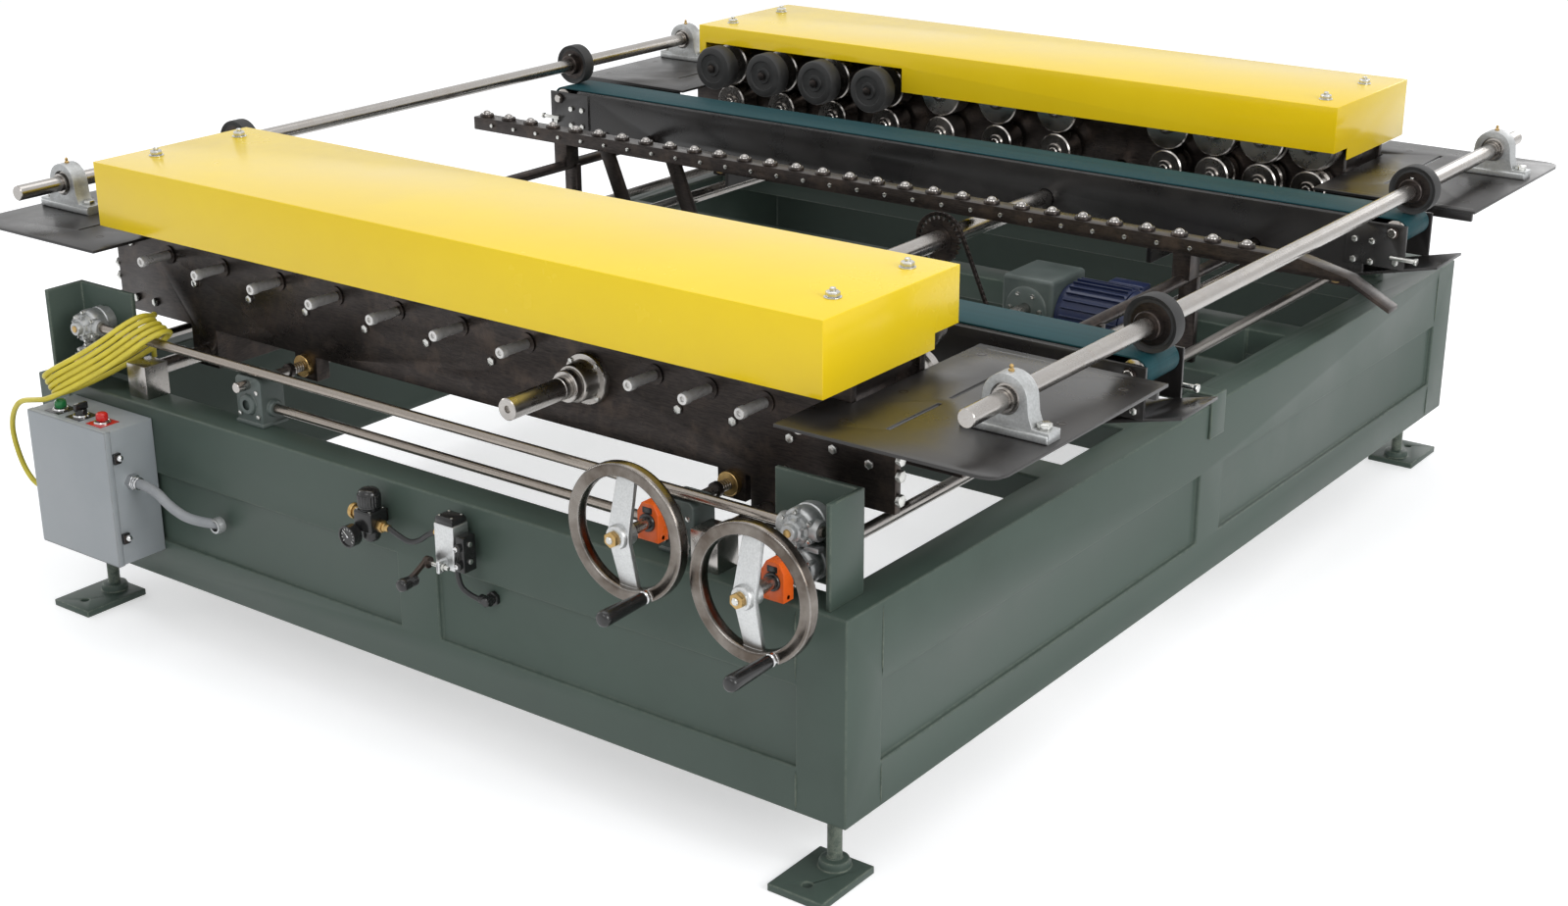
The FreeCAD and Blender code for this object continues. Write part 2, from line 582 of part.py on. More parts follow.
def belt_bed(side, word):
    middle = "%d * belt_y" % side
    pieces = []
    spread = "belt_width / 2 + 6"
    for y_sign in SIGNS:
        y = "%s + %d * (%s)" % (middle, y_sign, spread)
        plate = block("bed_side", ("2 * bed_half_length", "bed_plate", "bed_top - bed_bottom"),
                      ("0", y, "bed_bottom"))
        holes = [rod("bed_drive_way", "Y", "drive_hole", "8 * bed_plate",
                     ("drive_x", "%s - 4 * bed_plate" % y, "drive_z"))]
        for sign in SIGNS:
            holes.append(rod("bed_bar_way", "Y", "bar_hole", "8 * bed_plate",
                             ("%d * cross_bar_x" % sign, "%s - 4 * bed_plate" % y, "cross_bar_z")))
        pieces.append(cut("bed_side_drilled", plate, holes))
        for x_sign in SIGNS:
            start = "bed_half_length - 40"
            x = "%d * (%s + take_up_length / 2)" % (x_sign, start)
            plate = block("take_up", ("take_up_length", "bed_plate", "bed_top - bed_bottom - 30"),
                          (x, "%s + %d * bed_plate" % (y, y_sign), "bed_bottom + 26"))
            bore = rod("take_up_bore", "Y", "roller_shaft + %s" % RUNNING, "8 * bed_plate",
                       ("%d * roller_x" % x_sign, "%s - 4 * bed_plate" % y, ROLLER_Z))
            pieces.append(cut("take_up_bored", plate, [bore]))
    across = "belt_width + 12 - bed_plate"
    pieces.append(block("slider", ("2 * bed_half_length", across, "3"),
                        ("0", middle, "pass_line - belt_thick - part_gap - 3")))
    pieces.append(block("bed_floor", ("2 * bed_half_length", across, "3"), ("0", middle, "bed_bottom")))
    bed = fuse("bed_body", pieces)
    hole = block("bed_floor_way", ("160", "3 * belt_width", "30"),
                 ("drive_x", middle, "bed_bottom - 15"))
    arms = []
    reach = "inner_plate_y - plate_thick / 2 - (belt_y - (%s) - bed_plate / 2)" % spread
    for x_sign in SIGNS:
        arms.append(block("bed_arm", ("arm_thick", reach, "arm_height"),
                          ("%d * arm_x" % x_sign,
                           "%d * (inner_plate_y - plate_thick / 2 - (%s) / 2)" % (side, reach),
                           "bed_bottom - arm_height")))
    lean = [("bed_half_length - 20", "bed_bottom - 4"),
            ("bed_half_length + take_up_length - 40 + nose_length", "bed_bottom + 40"),
            ("bed_half_length + take_up_length - 40 + nose_length", "bed_bottom + 46"),
            ("bed_half_length - 20", "bed_bottom + 2")]
    nose = padded("bed_nose", "XZ_Plane", lean, "belt_width + 20", ("0", middle, "0"))
    return fuse("%s_belt_bed" % word, [bed, nose] + arms)


def belt(side, word):
    """A closed belt round its two rollers."""
    middle = "%d * belt_y - belt_width / 2" % side
    inner = "belt_roller + 2 * part_gap"
    outer = "belt_roller + 2 * belt_thick"
    loops = []
    for label, across, reach in (("belt_outside", outer, "belt_width"),
                                 ("belt_hollow", inner, "3 * belt_width")):
        start = middle if label == "belt_outside" else "%s - belt_width" % middle
        ends = [rod(label + "_end", "Y", across, reach, ("%d * roller_x" % sign, start, ROLLER_Z))
                for sign in SIGNS]
        bar = block(label + "_bar", ("2 * roller_x", reach, across),
                    ("0", "%s + (%s) / 2" % (start, reach), "%s - (%s) / 2" % (ROLLER_Z, across)))
        loops.append(fuse(label, ends + [bar]))
    return cut("%s_belt" % word, loops[0], [loops[1]])


def belt_roller(side, word, x_sign, use):
    shaft = "belt_width / 2 + 6 + 2.5 * bed_plate + 4"
    face = "belt_width / 2 - 1"
    points = [("0", "-(%s)" % shaft), ("roller_shaft / 2", "-(%s)" % shaft),
              ("roller_shaft / 2", "-(%s)" % face),
              ("belt_roller / 2", "-(%s)" % face), ("belt_roller / 2", face),
              ("roller_shaft / 2", face),
              ("roller_shaft / 2", shaft), ("0", shaft)]
    return turned("%s_%s_roller" % (word, use), "Y", points,
                  ("%d * roller_x" % x_sign, "%d * belt_y" % side, ROLLER_Z))


# Hold-down shafts over the belts, each with a rubber wheel that follows either head
HOLD_WHEEL = "(2 * (hold_z - pass_line - part_gap))"


def hold_shaft(x_sign, use):
    bar = rod("%s_bar" % use, "Y", "hold_shaft", "2 * hold_half_length",
              ("%d * hold_x" % x_sign, "-hold_half_length", "hold_z"))
    return bar


def hold_wheel(name, x_sign, side):
    x = "%d * hold_x" % x_sign
    y = "%d * hold_wheel_y" % side
    tyre = rod(name + "_tyre", "Y", HOLD_WHEEL, "hold_wheel_width",
               (x, "%s - hold_wheel_width / 2" % y, "hold_z"))
    hub = rod(name + "_hub", "Y", "hold_hub", "hold_hub_width",
              (x, "%s - hold_hub_width / 2" % y, "hold_z"))
    bore = rod(name + "_bore", "Y", "hold_shaft + %s" % RUNNING, "4 * hold_hub_width",
               (x, "%s - 2 * hold_hub_width" % y, "hold_z"))
    return cut(name, fuse(name + "_blank", [tyre, hub]), [bore])


# Ball rail along the middle, on two cross bars with posts
BALLS_ON_RAIL = 27
BALLS_ON_EXTENSION = 2
BALL_SIDES = 12


def ball_rail():
    floor = "ball_rail_top - ball_rail_height"
    length = "ball_rail_end - ball_rail_start"
    channel = block("rail_outside", (length, "ball_rail_width", "ball_rail_height"),
                    ("(ball_rail_start + ball_rail_end) / 2", "ball_rail_y", floor))
    hollow = block("rail_inside",
                   ("2 * (%s)" % length, "ball_rail_width - 8", "2 * (ball_rail_height - 4)"),
                   ("0", "ball_rail_y", "ball_rail_top - 4 - 2 * (ball_rail_height - 4)"))
    pieces = [cut("rail_channel", channel, [hollow])]
    tail = "ball_rail_end + extension_length"
    outline = [("ball_rail_end", floor), (tail, floor),
               ("%s + ramp_length" % tail, "%s - ramp_drop" % floor),
               ("%s + ramp_length" % tail, "%s - ramp_drop + 8" % floor), (tail, "ball_rail_top - 22"),
               ("%s - 100" % tail, "ball_rail_top"), ("ball_rail_end", "ball_rail_top")]
    pieces.append(padded("rail_extension", "XZ_Plane", outline, "ball_rail_width",
                         ("0", "ball_rail_y", "0")))
    rail = fuse("rail_welded", pieces)
    seats = []
    for sign in SIGNS:
        x = "%d * cross_bar_x" % sign
        bar = rod("cross_bar", "Y", "cross_bar", "2 * cross_bar_half",
                  (x, "-cross_bar_half", "cross_bar_z"))
        riser = block("rail_riser", ("post_width", "ball_rail_width", "%s - cross_bar_z - 2" % floor),
                      (x, "ball_rail_y", "cross_bar_z + 2"))
        posts = [block("bar_post", ("post_width", "post_thick", "cross_bar_z - %s" % BASE_TOP),
                       (x, "%d * middle_beam_y" % half, BASE_TOP)) for half in SIGNS]
        seats += [bar, riser] + posts
    braces = []
    for start in ("brace_first", "brace_second"):
        roof = "ball_rail_top - 4"
        outline = [(start, BASE_TOP), ("%s + brace_width" % start, BASE_TOP),
                   ("%s + brace_width - brace_lean" % start, roof), ("%s - brace_lean" % start, roof)]
        braces.append(padded("rail_brace", "XZ_Plane", outline, "brace_thick",
                             ("0", "ball_rail_y", "0")))
    return fuse("ball_rail", [rail] + seats + braces)


def ball_transfers():
    """Cups on the rail, each with the top of its ball."""
    balls = []
    for index in range(BALLS_ON_RAIL + BALLS_ON_EXTENSION):
        pieces = []
        for across, height in (("ball_cup", "ball_cup_height"),
                               ("ball_diameter * 0.8", "pass_line - ball_rail_top")):
            piece = doc.addObject("Part::Prism", "ball_step")
            piece.Polygon = BALL_SIDES
            bind(piece, {"Circumradius": "%s / 2" % across, "Height": height})
            pieces.append(put(piece, "first_ball + %d * ball_pitch" % index, "ball_rail_y",
                              "ball_rail_top"))
        balls.append(fuse("ball_transfer", pieces))
    return group("ball_transfers", balls)


# Main drive shaft through both heads, with its large sprocket
def drive_shaft():
    bar = rod("drive_bar", "Y", "drive_shaft", "drive_near_end - shaft_end_length + drive_far_end",
              ("drive_x", "-drive_near_end + shaft_end_length", "drive_z"))
    free_end = rod("drive_free_end", "Y", "shaft_end_diameter", "shaft_end_length + chain_width",
                   ("drive_x", "-drive_near_end", "drive_z"))
    wheel = rod("drive_sprocket", "Y", "large_sprocket", "chain_width",
                ("drive_x", "sprocket_y - chain_width / 2", "drive_z"))
    hub = rod("drive_sprocket_hub", "Y", "large_sprocket * 0.6", "3 * chain_width",
              ("drive_x", "sprocket_y - chain_width / 2", "drive_z"))
    bore = rod("drive_sprocket_bore", "Y", "drive_shaft + %s" % RUNNING, "9 * chain_width",
               ("drive_x", "sprocket_y - 4 * chain_width", "drive_z"))
    sprocket = cut("drive_sprocket_bored", fuse("drive_sprocket_blank", [wheel, hub]), [bore])
    return group("main_drive_shaft", [fuse("drive_shaft_turned", [bar, free_end]), sprocket])


def shaft_bearings(side, word):
    """Flanged housing and collar on the outer plate, round the drive shaft."""
    face = "outer_plate_y + plate_thick / 2"
    bore = "(drive_shaft / 2 + running_fit)"
    points = [(bore, "0"), ("bearing_flange / 2", "0"), ("bearing_flange / 2", "12"),
              ("bearing_outer / 2", "12"),
              ("bearing_outer / 2", "bearing_length"), ("bearing_outer / 2 - 6", "bearing_length"),
              ("bearing_outer / 2 - 6", "bearing_length + collar_length"),
              (bore, "bearing_length + collar_length")]
    y = face
    if side < 0:
        points = [(u, "-(%s)" % v) for u, v in points]
        y = "-(%s)" % face
    return [turned("drive_bearing", "Y", points, ("drive_x", y, "drive_z"))]


# Gear reducer and motor on the shelf, and the chain up to the drive shaft
def gear_reducer():
    floor = "%s - shelf_drop + shelf_thick" % BASE_TOP
    body = block("reducer_box", ("reducer_width", "reducer_depth", "reducer_height"),
                 ("reducer_x", "reducer_y", floor))
    cap = rod("reducer_cap", "Y", "reducer_width * 0.8", "reducer_depth + 12",
              ("reducer_x", "reducer_y - reducer_depth / 2 - 6", "reducer_z"))
    case = fuse("reducer_case", [body, cap])
    bore = rod("reducer_bore", "Y", "output_shaft + %s" % RUNNING, "2 * reducer_depth",
               ("reducer_x", "reducer_y - reducer_depth", "reducer_z"))
    return cut("gear_reducer", case, [bore])


def output_shaft():
    start = "sprocket_y - chain_width / 2"
    bar = rod("output_bar", "Y", "output_shaft", "reducer_y + reducer_depth / 2 - (%s)" % start,
              ("reducer_x", start, "reducer_z"))
    wheel = rod("output_sprocket", "Y", "small_sprocket", "chain_width",
                ("reducer_x", start, "reducer_z"))
    return fuse("reducer_output_shaft", [bar, wheel])


def motor():
    start = "reducer_x + reducer_width / 2"
    radius = "motor_diameter / 2"
    points = [("0", "0"), ("%s * 0.8" % radius, "0"), ("%s * 0.8" % radius, "15"), (radius, "15"),
              (radius, "motor_length - 43"), ("%s * 0.9" % radius, "motor_length - 43"),
              ("%s * 0.9" % radius, "motor_length"), ("0", "motor_length")]
    middle = "reducer_z - motor_drop"
    floor = "%s - shelf_drop + shelf_thick" % BASE_TOP
    barrel = turned("motor_barrel", "X", points, (start, "reducer_y", middle))
    terminal = block("motor_terminal_box", ("90", "40", "70"),
                     ("%s + motor_length / 2" % start, "reducer_y + %s * 0.9 + 10" % radius, middle))
    foot = block("motor_foot", ("110", "130", "%s - %s * 0.8 - (%s)" % (middle, radius, floor)),
                 ("%s + motor_length / 2" % start, "reducer_y", floor))
    return fuse("drive_motor", [barrel, terminal, foot])


def chain():
    """A closed chain: the outline round both sprockets less the outline inside it."""
    x_far, z_far = size("drive_x"), size("drive_z")
    x_near, z_near = size("reducer_x"), size("reducer_z")
    gap = size("part_gap")
    solids = []
    for extra in (gap + size("chain_thick"), gap):
        large, small = size("large_sprocket") / 2 + extra, size("small_sprocket") / 2 + extra
        reach = math.hypot(x_far - x_near, z_far - z_near)
        heading = math.atan2(z_near - z_far, x_near - x_far)
        lean = math.acos((large - small) / reach)
        ends = []
        for sign in SIGNS:
            angle = heading + sign * lean
            for x, z, radius in ((x_far, z_far, large), (x_near, z_near, small)):
                ends.append(Vector(x + radius * math.cos(angle), 0, z + radius * math.sin(angle)))
        back = Vector(x_far - large * math.cos(heading), 0, z_far - large * math.sin(heading))
        front = Vector(x_near + small * math.cos(heading), 0, z_near + small * math.sin(heading))
        edges = [Part.Arc(ends[0], back, ends[2]).toShape(),
                 Part.LineSegment(ends[2], ends[3]).toShape(),
                 Part.Arc(ends[3], front, ends[1]).toShape(),
                 Part.LineSegment(ends[1], ends[0]).toShape()]
        face = Part.Face(Part.Wire(edges))
        width = size("chain_width") - 2
        face.translate(Vector(0, size("sprocket_y") - width / 2, 0))
        solids.append(face.extrude(Vector(0, width, 0)))
    item = doc.addObject("Part::Feature", "drive_chain")
    item.Shape = solids[0].cut(solids[1])
    return item


# Screws that move the heads, the front right ones carrying a handwheel
def screw(name, x, z, diameter, start, end):
    return rod(name, "Y", diameter, "(%s) - (%s)" % (end, start), (x, start, z))


def handwheel(x, z, diameter):
    """Rim, dished spoke bar, hub and the pin of the grip."""
    rim_mid = "(wheel_diameter / 2 - rim_width / 2)"
    half = "rim_width / 2"
    soft = "(rim_width * 0.22)"
    low, high = "%s - %s" % (rim_mid, half), "%s + %s" % (rim_mid, half)
    points = [(low, "-%s + %s" % (half, soft)), ("%s + %s" % (low, soft), "-" + half),
              ("%s - %s" % (high, soft), "-" + half), (high, "-%s + %s" % (half, soft)),
              (high, "%s - %s" % (half, soft)), ("%s - %s" % (high, soft), half),
              ("%s + %s" % (low, soft), half), (low, "%s - %s" % (half, soft))]
    rim = turned("handwheel_rim", "Y", points, (x, "-wheel_y", z))
    edge = "(%s - 4)" % rim_mid
    outline = [("-%s" % half, edge), ("-%s + spoke_thick" % half, edge),
               ("-dish + spoke_thick - %s" % half, "0"),
               ("-%s + spoke_thick" % half, "-" + edge), ("-%s" % half, "-" + edge),
               ("-dish - %s" % half, "0")]
    spoke = padded("handwheel_spoke", "YZ_Plane", outline, "spoke_width",
                   (x, "-wheel_y + %s" % half, z))
    hub = rod("handwheel_hub", "Y", "wheel_hub", "wheel_hub_length",
              (x, "-wheel_y - dish - 6", z))
    pieces = [rim, spoke, hub]
    reach_x = "%s + %s * %.6f" % (x, rim_mid, math.cos(math.radians(size("grip_turn"))))
    reach_z = "%s - %s * %.6f" % (z, rim_mid, math.sin(math.radians(size("grip_turn"))))
    pin = rod("grip_pin_bar", "Y", "grip_pin", "grip_length + rim_width / 2 - 10",
              (reach_x, "-wheel_y - rim_width / 2 - grip_length + 10", reach_z))
    boss = rod("grip_boss", "Y", "grip_diameter * 0.8", "8",
               (reach_x, "-wheel_y - rim_width / 2 - 7", reach_z))
    pieces += [pin, boss]
    end = hexagon("handwheel_nut", "Y", "26", "10", (x, "-wheel_y - dish - 16", z))
    return fuse("handwheel", pieces + [end]), (reach_x, reach_z)


def grip(name, place):
    """A tapered hand grip that spins on its pin."""
    bore = "(grip_pin / 2 + running_fit)"
    radius = "grip_diameter / 2"
    start = "rim_width / 2 + 7 + part_gap"
    depth = "rim_width / 2 + grip_length - 10 + part_gap"
    points = [(bore, "-(%s)" % start), ("%s - 3" % radius, "-(%s)" % start),
              ("%s - 3" % radius, "-(%s + 12)" % start),
              (radius, "-(%s + 12)" % start), (radius, "-(%s + grip_length)" % start),
              ("0", "-(%s + grip_length)" % start), ("0", "-(%s)" % depth), (bore, "-(%s)" % depth)]
    return turned(name, "Y", points, (place[0], "-wheel_y", place[1]))


# Crossed-axis gearboxes at the front: castings for the far head, housings for the near head
def far_gearboxes():
    boxes = []
    for sign in SIGNS:
        x = "%d * far_screw_x" % sign
        for z, way in (("far_screw_z", None), ("upper_shaft_z", "upper")):
            radius = "casting / 2"
            points = [("0", "-casting_front"), ("casting_hub / 2", "-casting_front"),
                      ("casting_hub / 2", "-casting_front + 10"),
                      ("%s * 0.8" % radius, "-casting_front + 12"),
                      ("%s * 0.8" % radius, "-casting_front + 24"), (radius, "-casting_front + 26"),
                      (radius, "-casting_back - 8"), ("%s * 0.88" % radius, "-casting_back - 8"),
                      ("%s * 0.88" % radius, "-casting_back"), ("0", "-casting_back")]
            casting = turned("casting", "Y", points, (x, "0", z))
            if way:
                bore = rod("casting_cross_bore", "X", "cross_shaft + %s" % RUNNING, "4 * casting",
                           ("%s - 2 * casting" % x, "-upper_shaft_y", z))
                boss = rod("casting_boss", "X", "casting_hub", "casting + 14",
                           ("%s - casting / 2 - 7" % x, "-upper_shaft_y", z))
                casting = fuse("casting_with_boss", [casting, boss])
            else:
                bore = rod("casting_screw_bore", "Y", "far_screw + %s" % RUNNING, "2 * casting_front",
                           (x, "-2 * casting_front", z))
            boxes.append(cut("gearbox_casting", casting, [bore]))
    return group("far_drive_gearboxes", boxes)


def near_gearboxes():
    boxes = []
    for x in ("near_screw_right_x", "near_screw_left_x"):
        height = "near_box_top - %s" % BASE_TOP
        body = block("near_box", ("near_box_width", "near_box_length", height),
                     (x, "-lower_shaft_y", BASE_TOP))
        cap = rod("near_box_cap", "Y", "near_box_width * 0.6", "near_box_length + 16",
                  (x, "-lower_shaft_y - near_box_length / 2 - 8", "lower_shaft_z + 8"))
        case = fuse("near_box_case", [body, cap])
        ways = [rod("near_box_cross_bore", "X", "cross_shaft + %s" % RUNNING, "3 * near_box_width",
                    ("%s - 1.5 * near_box_width" % x, "-lower_shaft_y", "lower_shaft_z")),
                rod("near_box_screw_bore", "Y", "near_screw + %s" % RUNNING, "6 * near_box_length",
                    (x, "-lower_shaft_y - 3 * near_box_length", "near_screw_z"))]
        boxes.append(cut("near_gearbox", case, ways))
    return group("near_drive_gearboxes", boxes)


# Green angle brackets that carry the stacked gearboxes
def corner_brackets():
    brackets = []
    for sign in SIGNS:
        x = "%d * far_screw_x" % sign
        back = block("bracket_back", ("bracket_width", "bracket_thick", "bracket_height"),
                     (x, "-casting_back + bracket_thick / 2", BASE_TOP))
        side = block("bracket_side", ("bracket_thick", "bracket_depth", "bracket_height"),
                     ("%s + %d * (bracket_width - bracket_thick) / 2" % (x, sign),
                      "-casting_back + bracket_thick - bracket_depth / 2", BASE_TOP))
        angle = fuse("bracket_angle", [back, side])
        bores = [rod("bracket_screw_way", "Y", "far_screw + 6", "8 * bracket_thick",
                     (x, "-casting_back - 4 * bracket_thick", "far_screw_z"))]
        brackets.append(cut("corner_bracket", angle, bores))
    return group("corner_brackets", brackets)


# Bearing blocks at the far ends of the four screws
def screw_bearings():
    blocks = []
    for x, y, z, screw_size in (
            ("near_screw_right_x", "-screw_beam_y", "near_screw_z", "near_screw"),
            ("near_screw_left_x", "-screw_beam_y", "near_screw_z", "near_screw"),
            ("far_screw_x", "far_beam_y", "far_screw_z", "far_screw"),
            ("-far_screw_x", "far_beam_y", "far_screw_z", "far_screw")):
        body = block("screw_block", ("screw_block_width", "screw_block_length",
                                     "%s + screw_block_top - %s" % (z, BASE_TOP)), (x, y, BASE_TOP))
        bore = rod("screw_block_bore", "Y", "%s + %s" % (screw_size, RUNNING), "6 * screw_block_length",
                   (x, "%s - 3 * screw_block_length" % y, z))
        blocks.append(cut("screw_bearing", body, [bore]))
    return group("screw_bearings", blocks)


# Orange position indicators on the handwheel shafts
def indicators():
    shells = []
    for x, z, diameter in (("near_screw_right_x", "near_screw_z", "near_screw"),
                           ("far_screw_x", "far_screw_z", "far_screw")):
        wide, tall = "indicator_width / 2", "indicator_height / 2"
        outline = [("-%s" % wide, "-%s" % tall), (wide, "-%s" % tall), (wide, "%s - 12" % tall),
                   ("%s - 10" % wide, tall), ("-%s + 10" % wide, tall),
                   ("-%s" % wide, "%s - 12" % tall)]
        shell = padded("indicator_shell", "XZ_Plane", outline, "indicator_thick",
                       (x, "-indicator_y", z))
        bore = rod("indicator_bore", "Y", "%s + %s" % (diameter, RUNNING), "6 * indicator_thick",
                   (x, "-indicator_y - 3 * indicator_thick", z))
        shells.append(cut("position_indicator", shell, [bore]))
    return group("position_indicators", shells)


# Stop bracket on the right side's top edge
def stop_bracket():
    plate = block("stop_plate", ("flange_thick", "stop_bracket_width", "90"),
                  ("%s + flange_thick / 2" % HALF_X, "0", "%s - 70" % BASE_TOP))
    arm = block("stop_arm", ("70", "stop_bracket_width * 0.6", "flange_thick"),
                ("%s - 29" % HALF_X, "0", "%s + 14" % BASE_TOP))
    return fuse("stop_bracket", [plate, arm])


# Control box: an open steel case, a door with turned rims, clamps on the right side
BOX_Y = "(-%s - box_depth / 2 - part_gap)" % HALF_Y


def control_box():
    middle = "box_left + box_width / 2"
    shell = block("box_outside", ("box_width", "box_depth", "box_height"),
                  (middle, BOX_Y, "box_bottom"))
    front = "(box_depth - 2 * box_wall)"
    hollow = block("box_inside", ("box_width - 2 * box_wall", "box_depth", "box_height - 2 * box_wall"),
                   (middle, "%s - box_wall" % BOX_Y, "box_bottom + box_wall"))
    holes = [rod("button_hole", "Z", "button_stem + 2 * button_fit", "6 * box_wall",
                 ("%s + %d * button_pitch" % (middle, index), "-button_row_y",
                  "box_bottom + box_height - 3 * box_wall")) for index in (-1, 0, 1)]
    case = cut("box_case", shell, [hollow] + holes)
    top = "box_bottom + box_height"
    collars = []
    for index in (-1, 0, 1):
        x = "%s + %d * button_pitch" % (middle, index)
        ring = rod("button_collar_blank", "Z", "button_diameter + 10", "5", (x, "-button_row_y", top))
        bore = rod("button_collar_bore", "Z", "button_diameter + 2 * button_fit", "30",
                   (x, "-button_row_y", "%s - 10" % top))
        collars.append(cut("button_collar", ring, [bore]))
    clamps = []
    right = "box_left + box_width"
    for share in ("0.2", "0.8"):
        z = "box_bottom + box_height * %s - clamp_height / 2" % share
        clamps.append(block("door_clamp", ("8", "clamp_width", "clamp_height"),
                            ("%s + 4" % right, "%s - box_depth / 2 + clamp_width / 2 + 10" % BOX_Y, z)))
    gland = rod("cord_gland", "X", "gland", "gland_length",
                ("box_left - gland_length", "-gland_y", "gland_z"))
    fitting = hexagon("conduit_fitting", "X", "fitting", "14", (right, "-gland_y", "fitting_z"))
    sleeve = rod("conduit_sleeve", "X", "fitting * 0.8", "12",
                 ("%s + 14" % right, "-gland_y", "fitting_z"))
    return group("control_box",
                 [case] + collars + clamps + [gland, fuse("conduit_connector", [fitting, sleeve])])


def box_door():
    middle = "box_left + box_width / 2"
    front = "(%s - box_depth / 2)" % BOX_Y
    return block("control_box_door", ("box_width", "door_thick", "box_height"),
                 (middle, "%s - door_thick / 2 - part_gap" % front, "box_bottom"))


def button(name, index, head):
    """A button with its stem through the box's top."""
    top = "box_bottom + box_height"
    x = "box_left + box_width / 2 + %d * button_pitch" % index
    stem = "button_stem / 2"
    lift = "(button_travel + 1)"
    if head == "knob":
        lift = "part_gap"
    rim = "button_diameter / 2"
    points = [("0", "-14"), (stem, "-14"), (stem, lift), (rim, lift),
              (rim, "%s + button_height - 3" % lift), ("%s - 3" % rim, "%s + button_height" % lift),
              ("0", "%s + button_height" % lift)]
    cap = turned(name + "_cap", "Z", points, (x, "-button_row_y", top))
    if head != "knob":
        cap.Label = name
        return cap
    bar = block(name + "_bar", ("9", "button_diameter + 8", "12"),
                (x, "-button_row_y", "%s + button_height + part_gap" % top))
    return fuse(name, [cap, bar])


# Cords and hoses: straight runs joined by tangent arcs, swept as one tube
def route(points, diameter, name, least):
    """The tube along a route, each corner's arc as large as its two runs allow."""
    corners = [Vector(*point) for point in points]
    edges, start = [], corners[0]
    radii = []
    for before, corner, after in zip(corners, corners[1:], corners[2:]):
        arrive = (corner - before)
        leave = (after - corner)
        turn = arrive.getAngle(leave)
        reach = 0.45 * min(arrive.Length, leave.Length)
        radii.append(reach / math.tan(turn / 2))
        first = corner - arrive.normalize() * reach
        last = corner + leave.normalize() * reach
        inward = (first - corner) + (last - corner)
        middle = corner + inward.normalize() * (radii[-1] / math.cos(turn / 2) - radii[-1])
        if (first - start).Length > EDGE_CHECK:
            edges.append(Part.LineSegment(start, first).toShape())
        edges.append(Part.Arc(first, middle, last).toShape())
        start = last
    edges.append(Part.LineSegment(start, corners[-1]).toShape())
    wire = Part.Wire(edges)
    circle = Part.Circle(corners[0], corners[1] - corners[0], diameter / 2)
    sides = int(size("cord_sides"))
    ring = [circle.value(2 * math.pi * step / sides) for step in range(sides)]
    section = Part.makePolygon(ring + ring[:1])
    tube = wire.makePipeShell([section], True, False)
    expected = Part.Face(section).Area * wire.Length
    print("%s: length %.0f, least radius %.1f (wanted %.0f), volume ratio %.4f"
          % (name, wire.Length, min(radii), least, tube.Volume / expected))
    return tube, wire


def tube_object(name, shapes):
    item = doc.addObject("Part::Feature", name)
    item.Shape = shapes[0] if len(shapes) == 1 else Part.Compound(shapes)
    return item


# Yellow cord: a lead from the gland, a hank hung over the upper cross shaft, and its plug
HANK_TOP = Vector(-697, 57 - size("upper_shaft_y"), 8.5 + size("upper_shaft_z"))
HANK_FOOT = HANK_TOP + Vector(-185.5, -137.5, -142)
TOP_STEP = Vector(-15.5, 0, 5.3)
FOOT_STEP = Vector(-8, 0, 10)
HANK_SAG, HANK_BOW = 10, 2
LEAD = [(0, 0, 0), (-50, 0, 0), (-85, -2, 29), (-99, -7, 79), (-94, -15, 128), (-66, -24, 172),
        (-26, -32, 204)]
TAIL = [(-38, 22, -6), (-62, 34, -36), (-70, 38, -80), (-70, 38, -110)]


def hank_points():
    """Corners of the hank's loops: up in front, over the shaft, down behind, one step on each time."""
    along = (HANK_TOP - HANK_FOOT).normalize()
    across = (Vector(0, -1, 0) + along * along.y).normalize()
    down = along.cross(across)
    slack = down * (-HANK_SAG if down.z > 0 else HANK_SAG) + across * HANK_BOW
    fold = across * size("hank_depth")
    points = []
    for index in range(int(size("hank_loops"))):
        top, foot = HANK_TOP + TOP_STEP * index, HANK_FOOT + FOOT_STEP * index
        run = top - foot
        points += [foot + fold, foot + fold + run * 0.5 + slack, top + fold, top]
        after = foot + FOOT_STEP
        if index + 1 < size("hank_loops"):
            points += [top + (after - top) * 0.5 + slack, after]
    return points


def cords():
    gland = Vector(size("box_left") - size("gland_length"), -size("gland_y"), size("gland_z"))
    loops = hank_points()
    lead = [gland + Vector(*step) for step in LEAD]
    join = lead[-1] + (loops[0] - lead[-1]) * 0.5
    tail = [loops[-1] + Vector(*step) for step in TAIL]
    lead_tube, lead_wire = route(lead + [join], size("cord"), "cord lead", 5 * size("cord"))
    hank_tube, hank_wire = route([join] + loops + tail, size("cord"), "cord hank", 3 * size("cord"))
    least_gap(hank_wire, size("cord"))
    points = [("0", "0"), ("cord / 2 + 4", "0"), ("plug_diameter / 2", "-14"),
              ("plug_diameter / 2", "-plug_length"), ("0", "-plug_length")]
    plug = turned("cord_plug", "Z", points, tuple("%g" % value for value in tail[-1]))
    return tube_object("cord_lead", [lead_tube]), tube_object("hank_tube", [hank_tube]), plug


def least_gap(wire, diameter):
    """Prints the least gap between stretches of a tube that are apart along its length."""
    step = diameter / 2
    count = int(wire.Length / step)
    points = wire.discretize(count)
    apart = int(math.pi * diameter / step) + 2
    least = min((points[i] - points[j]).Length for i in range(count) for j in range(i + apart, count, 1))
    print("least gap of the hank to itself: %.2f" % (least - diameter))


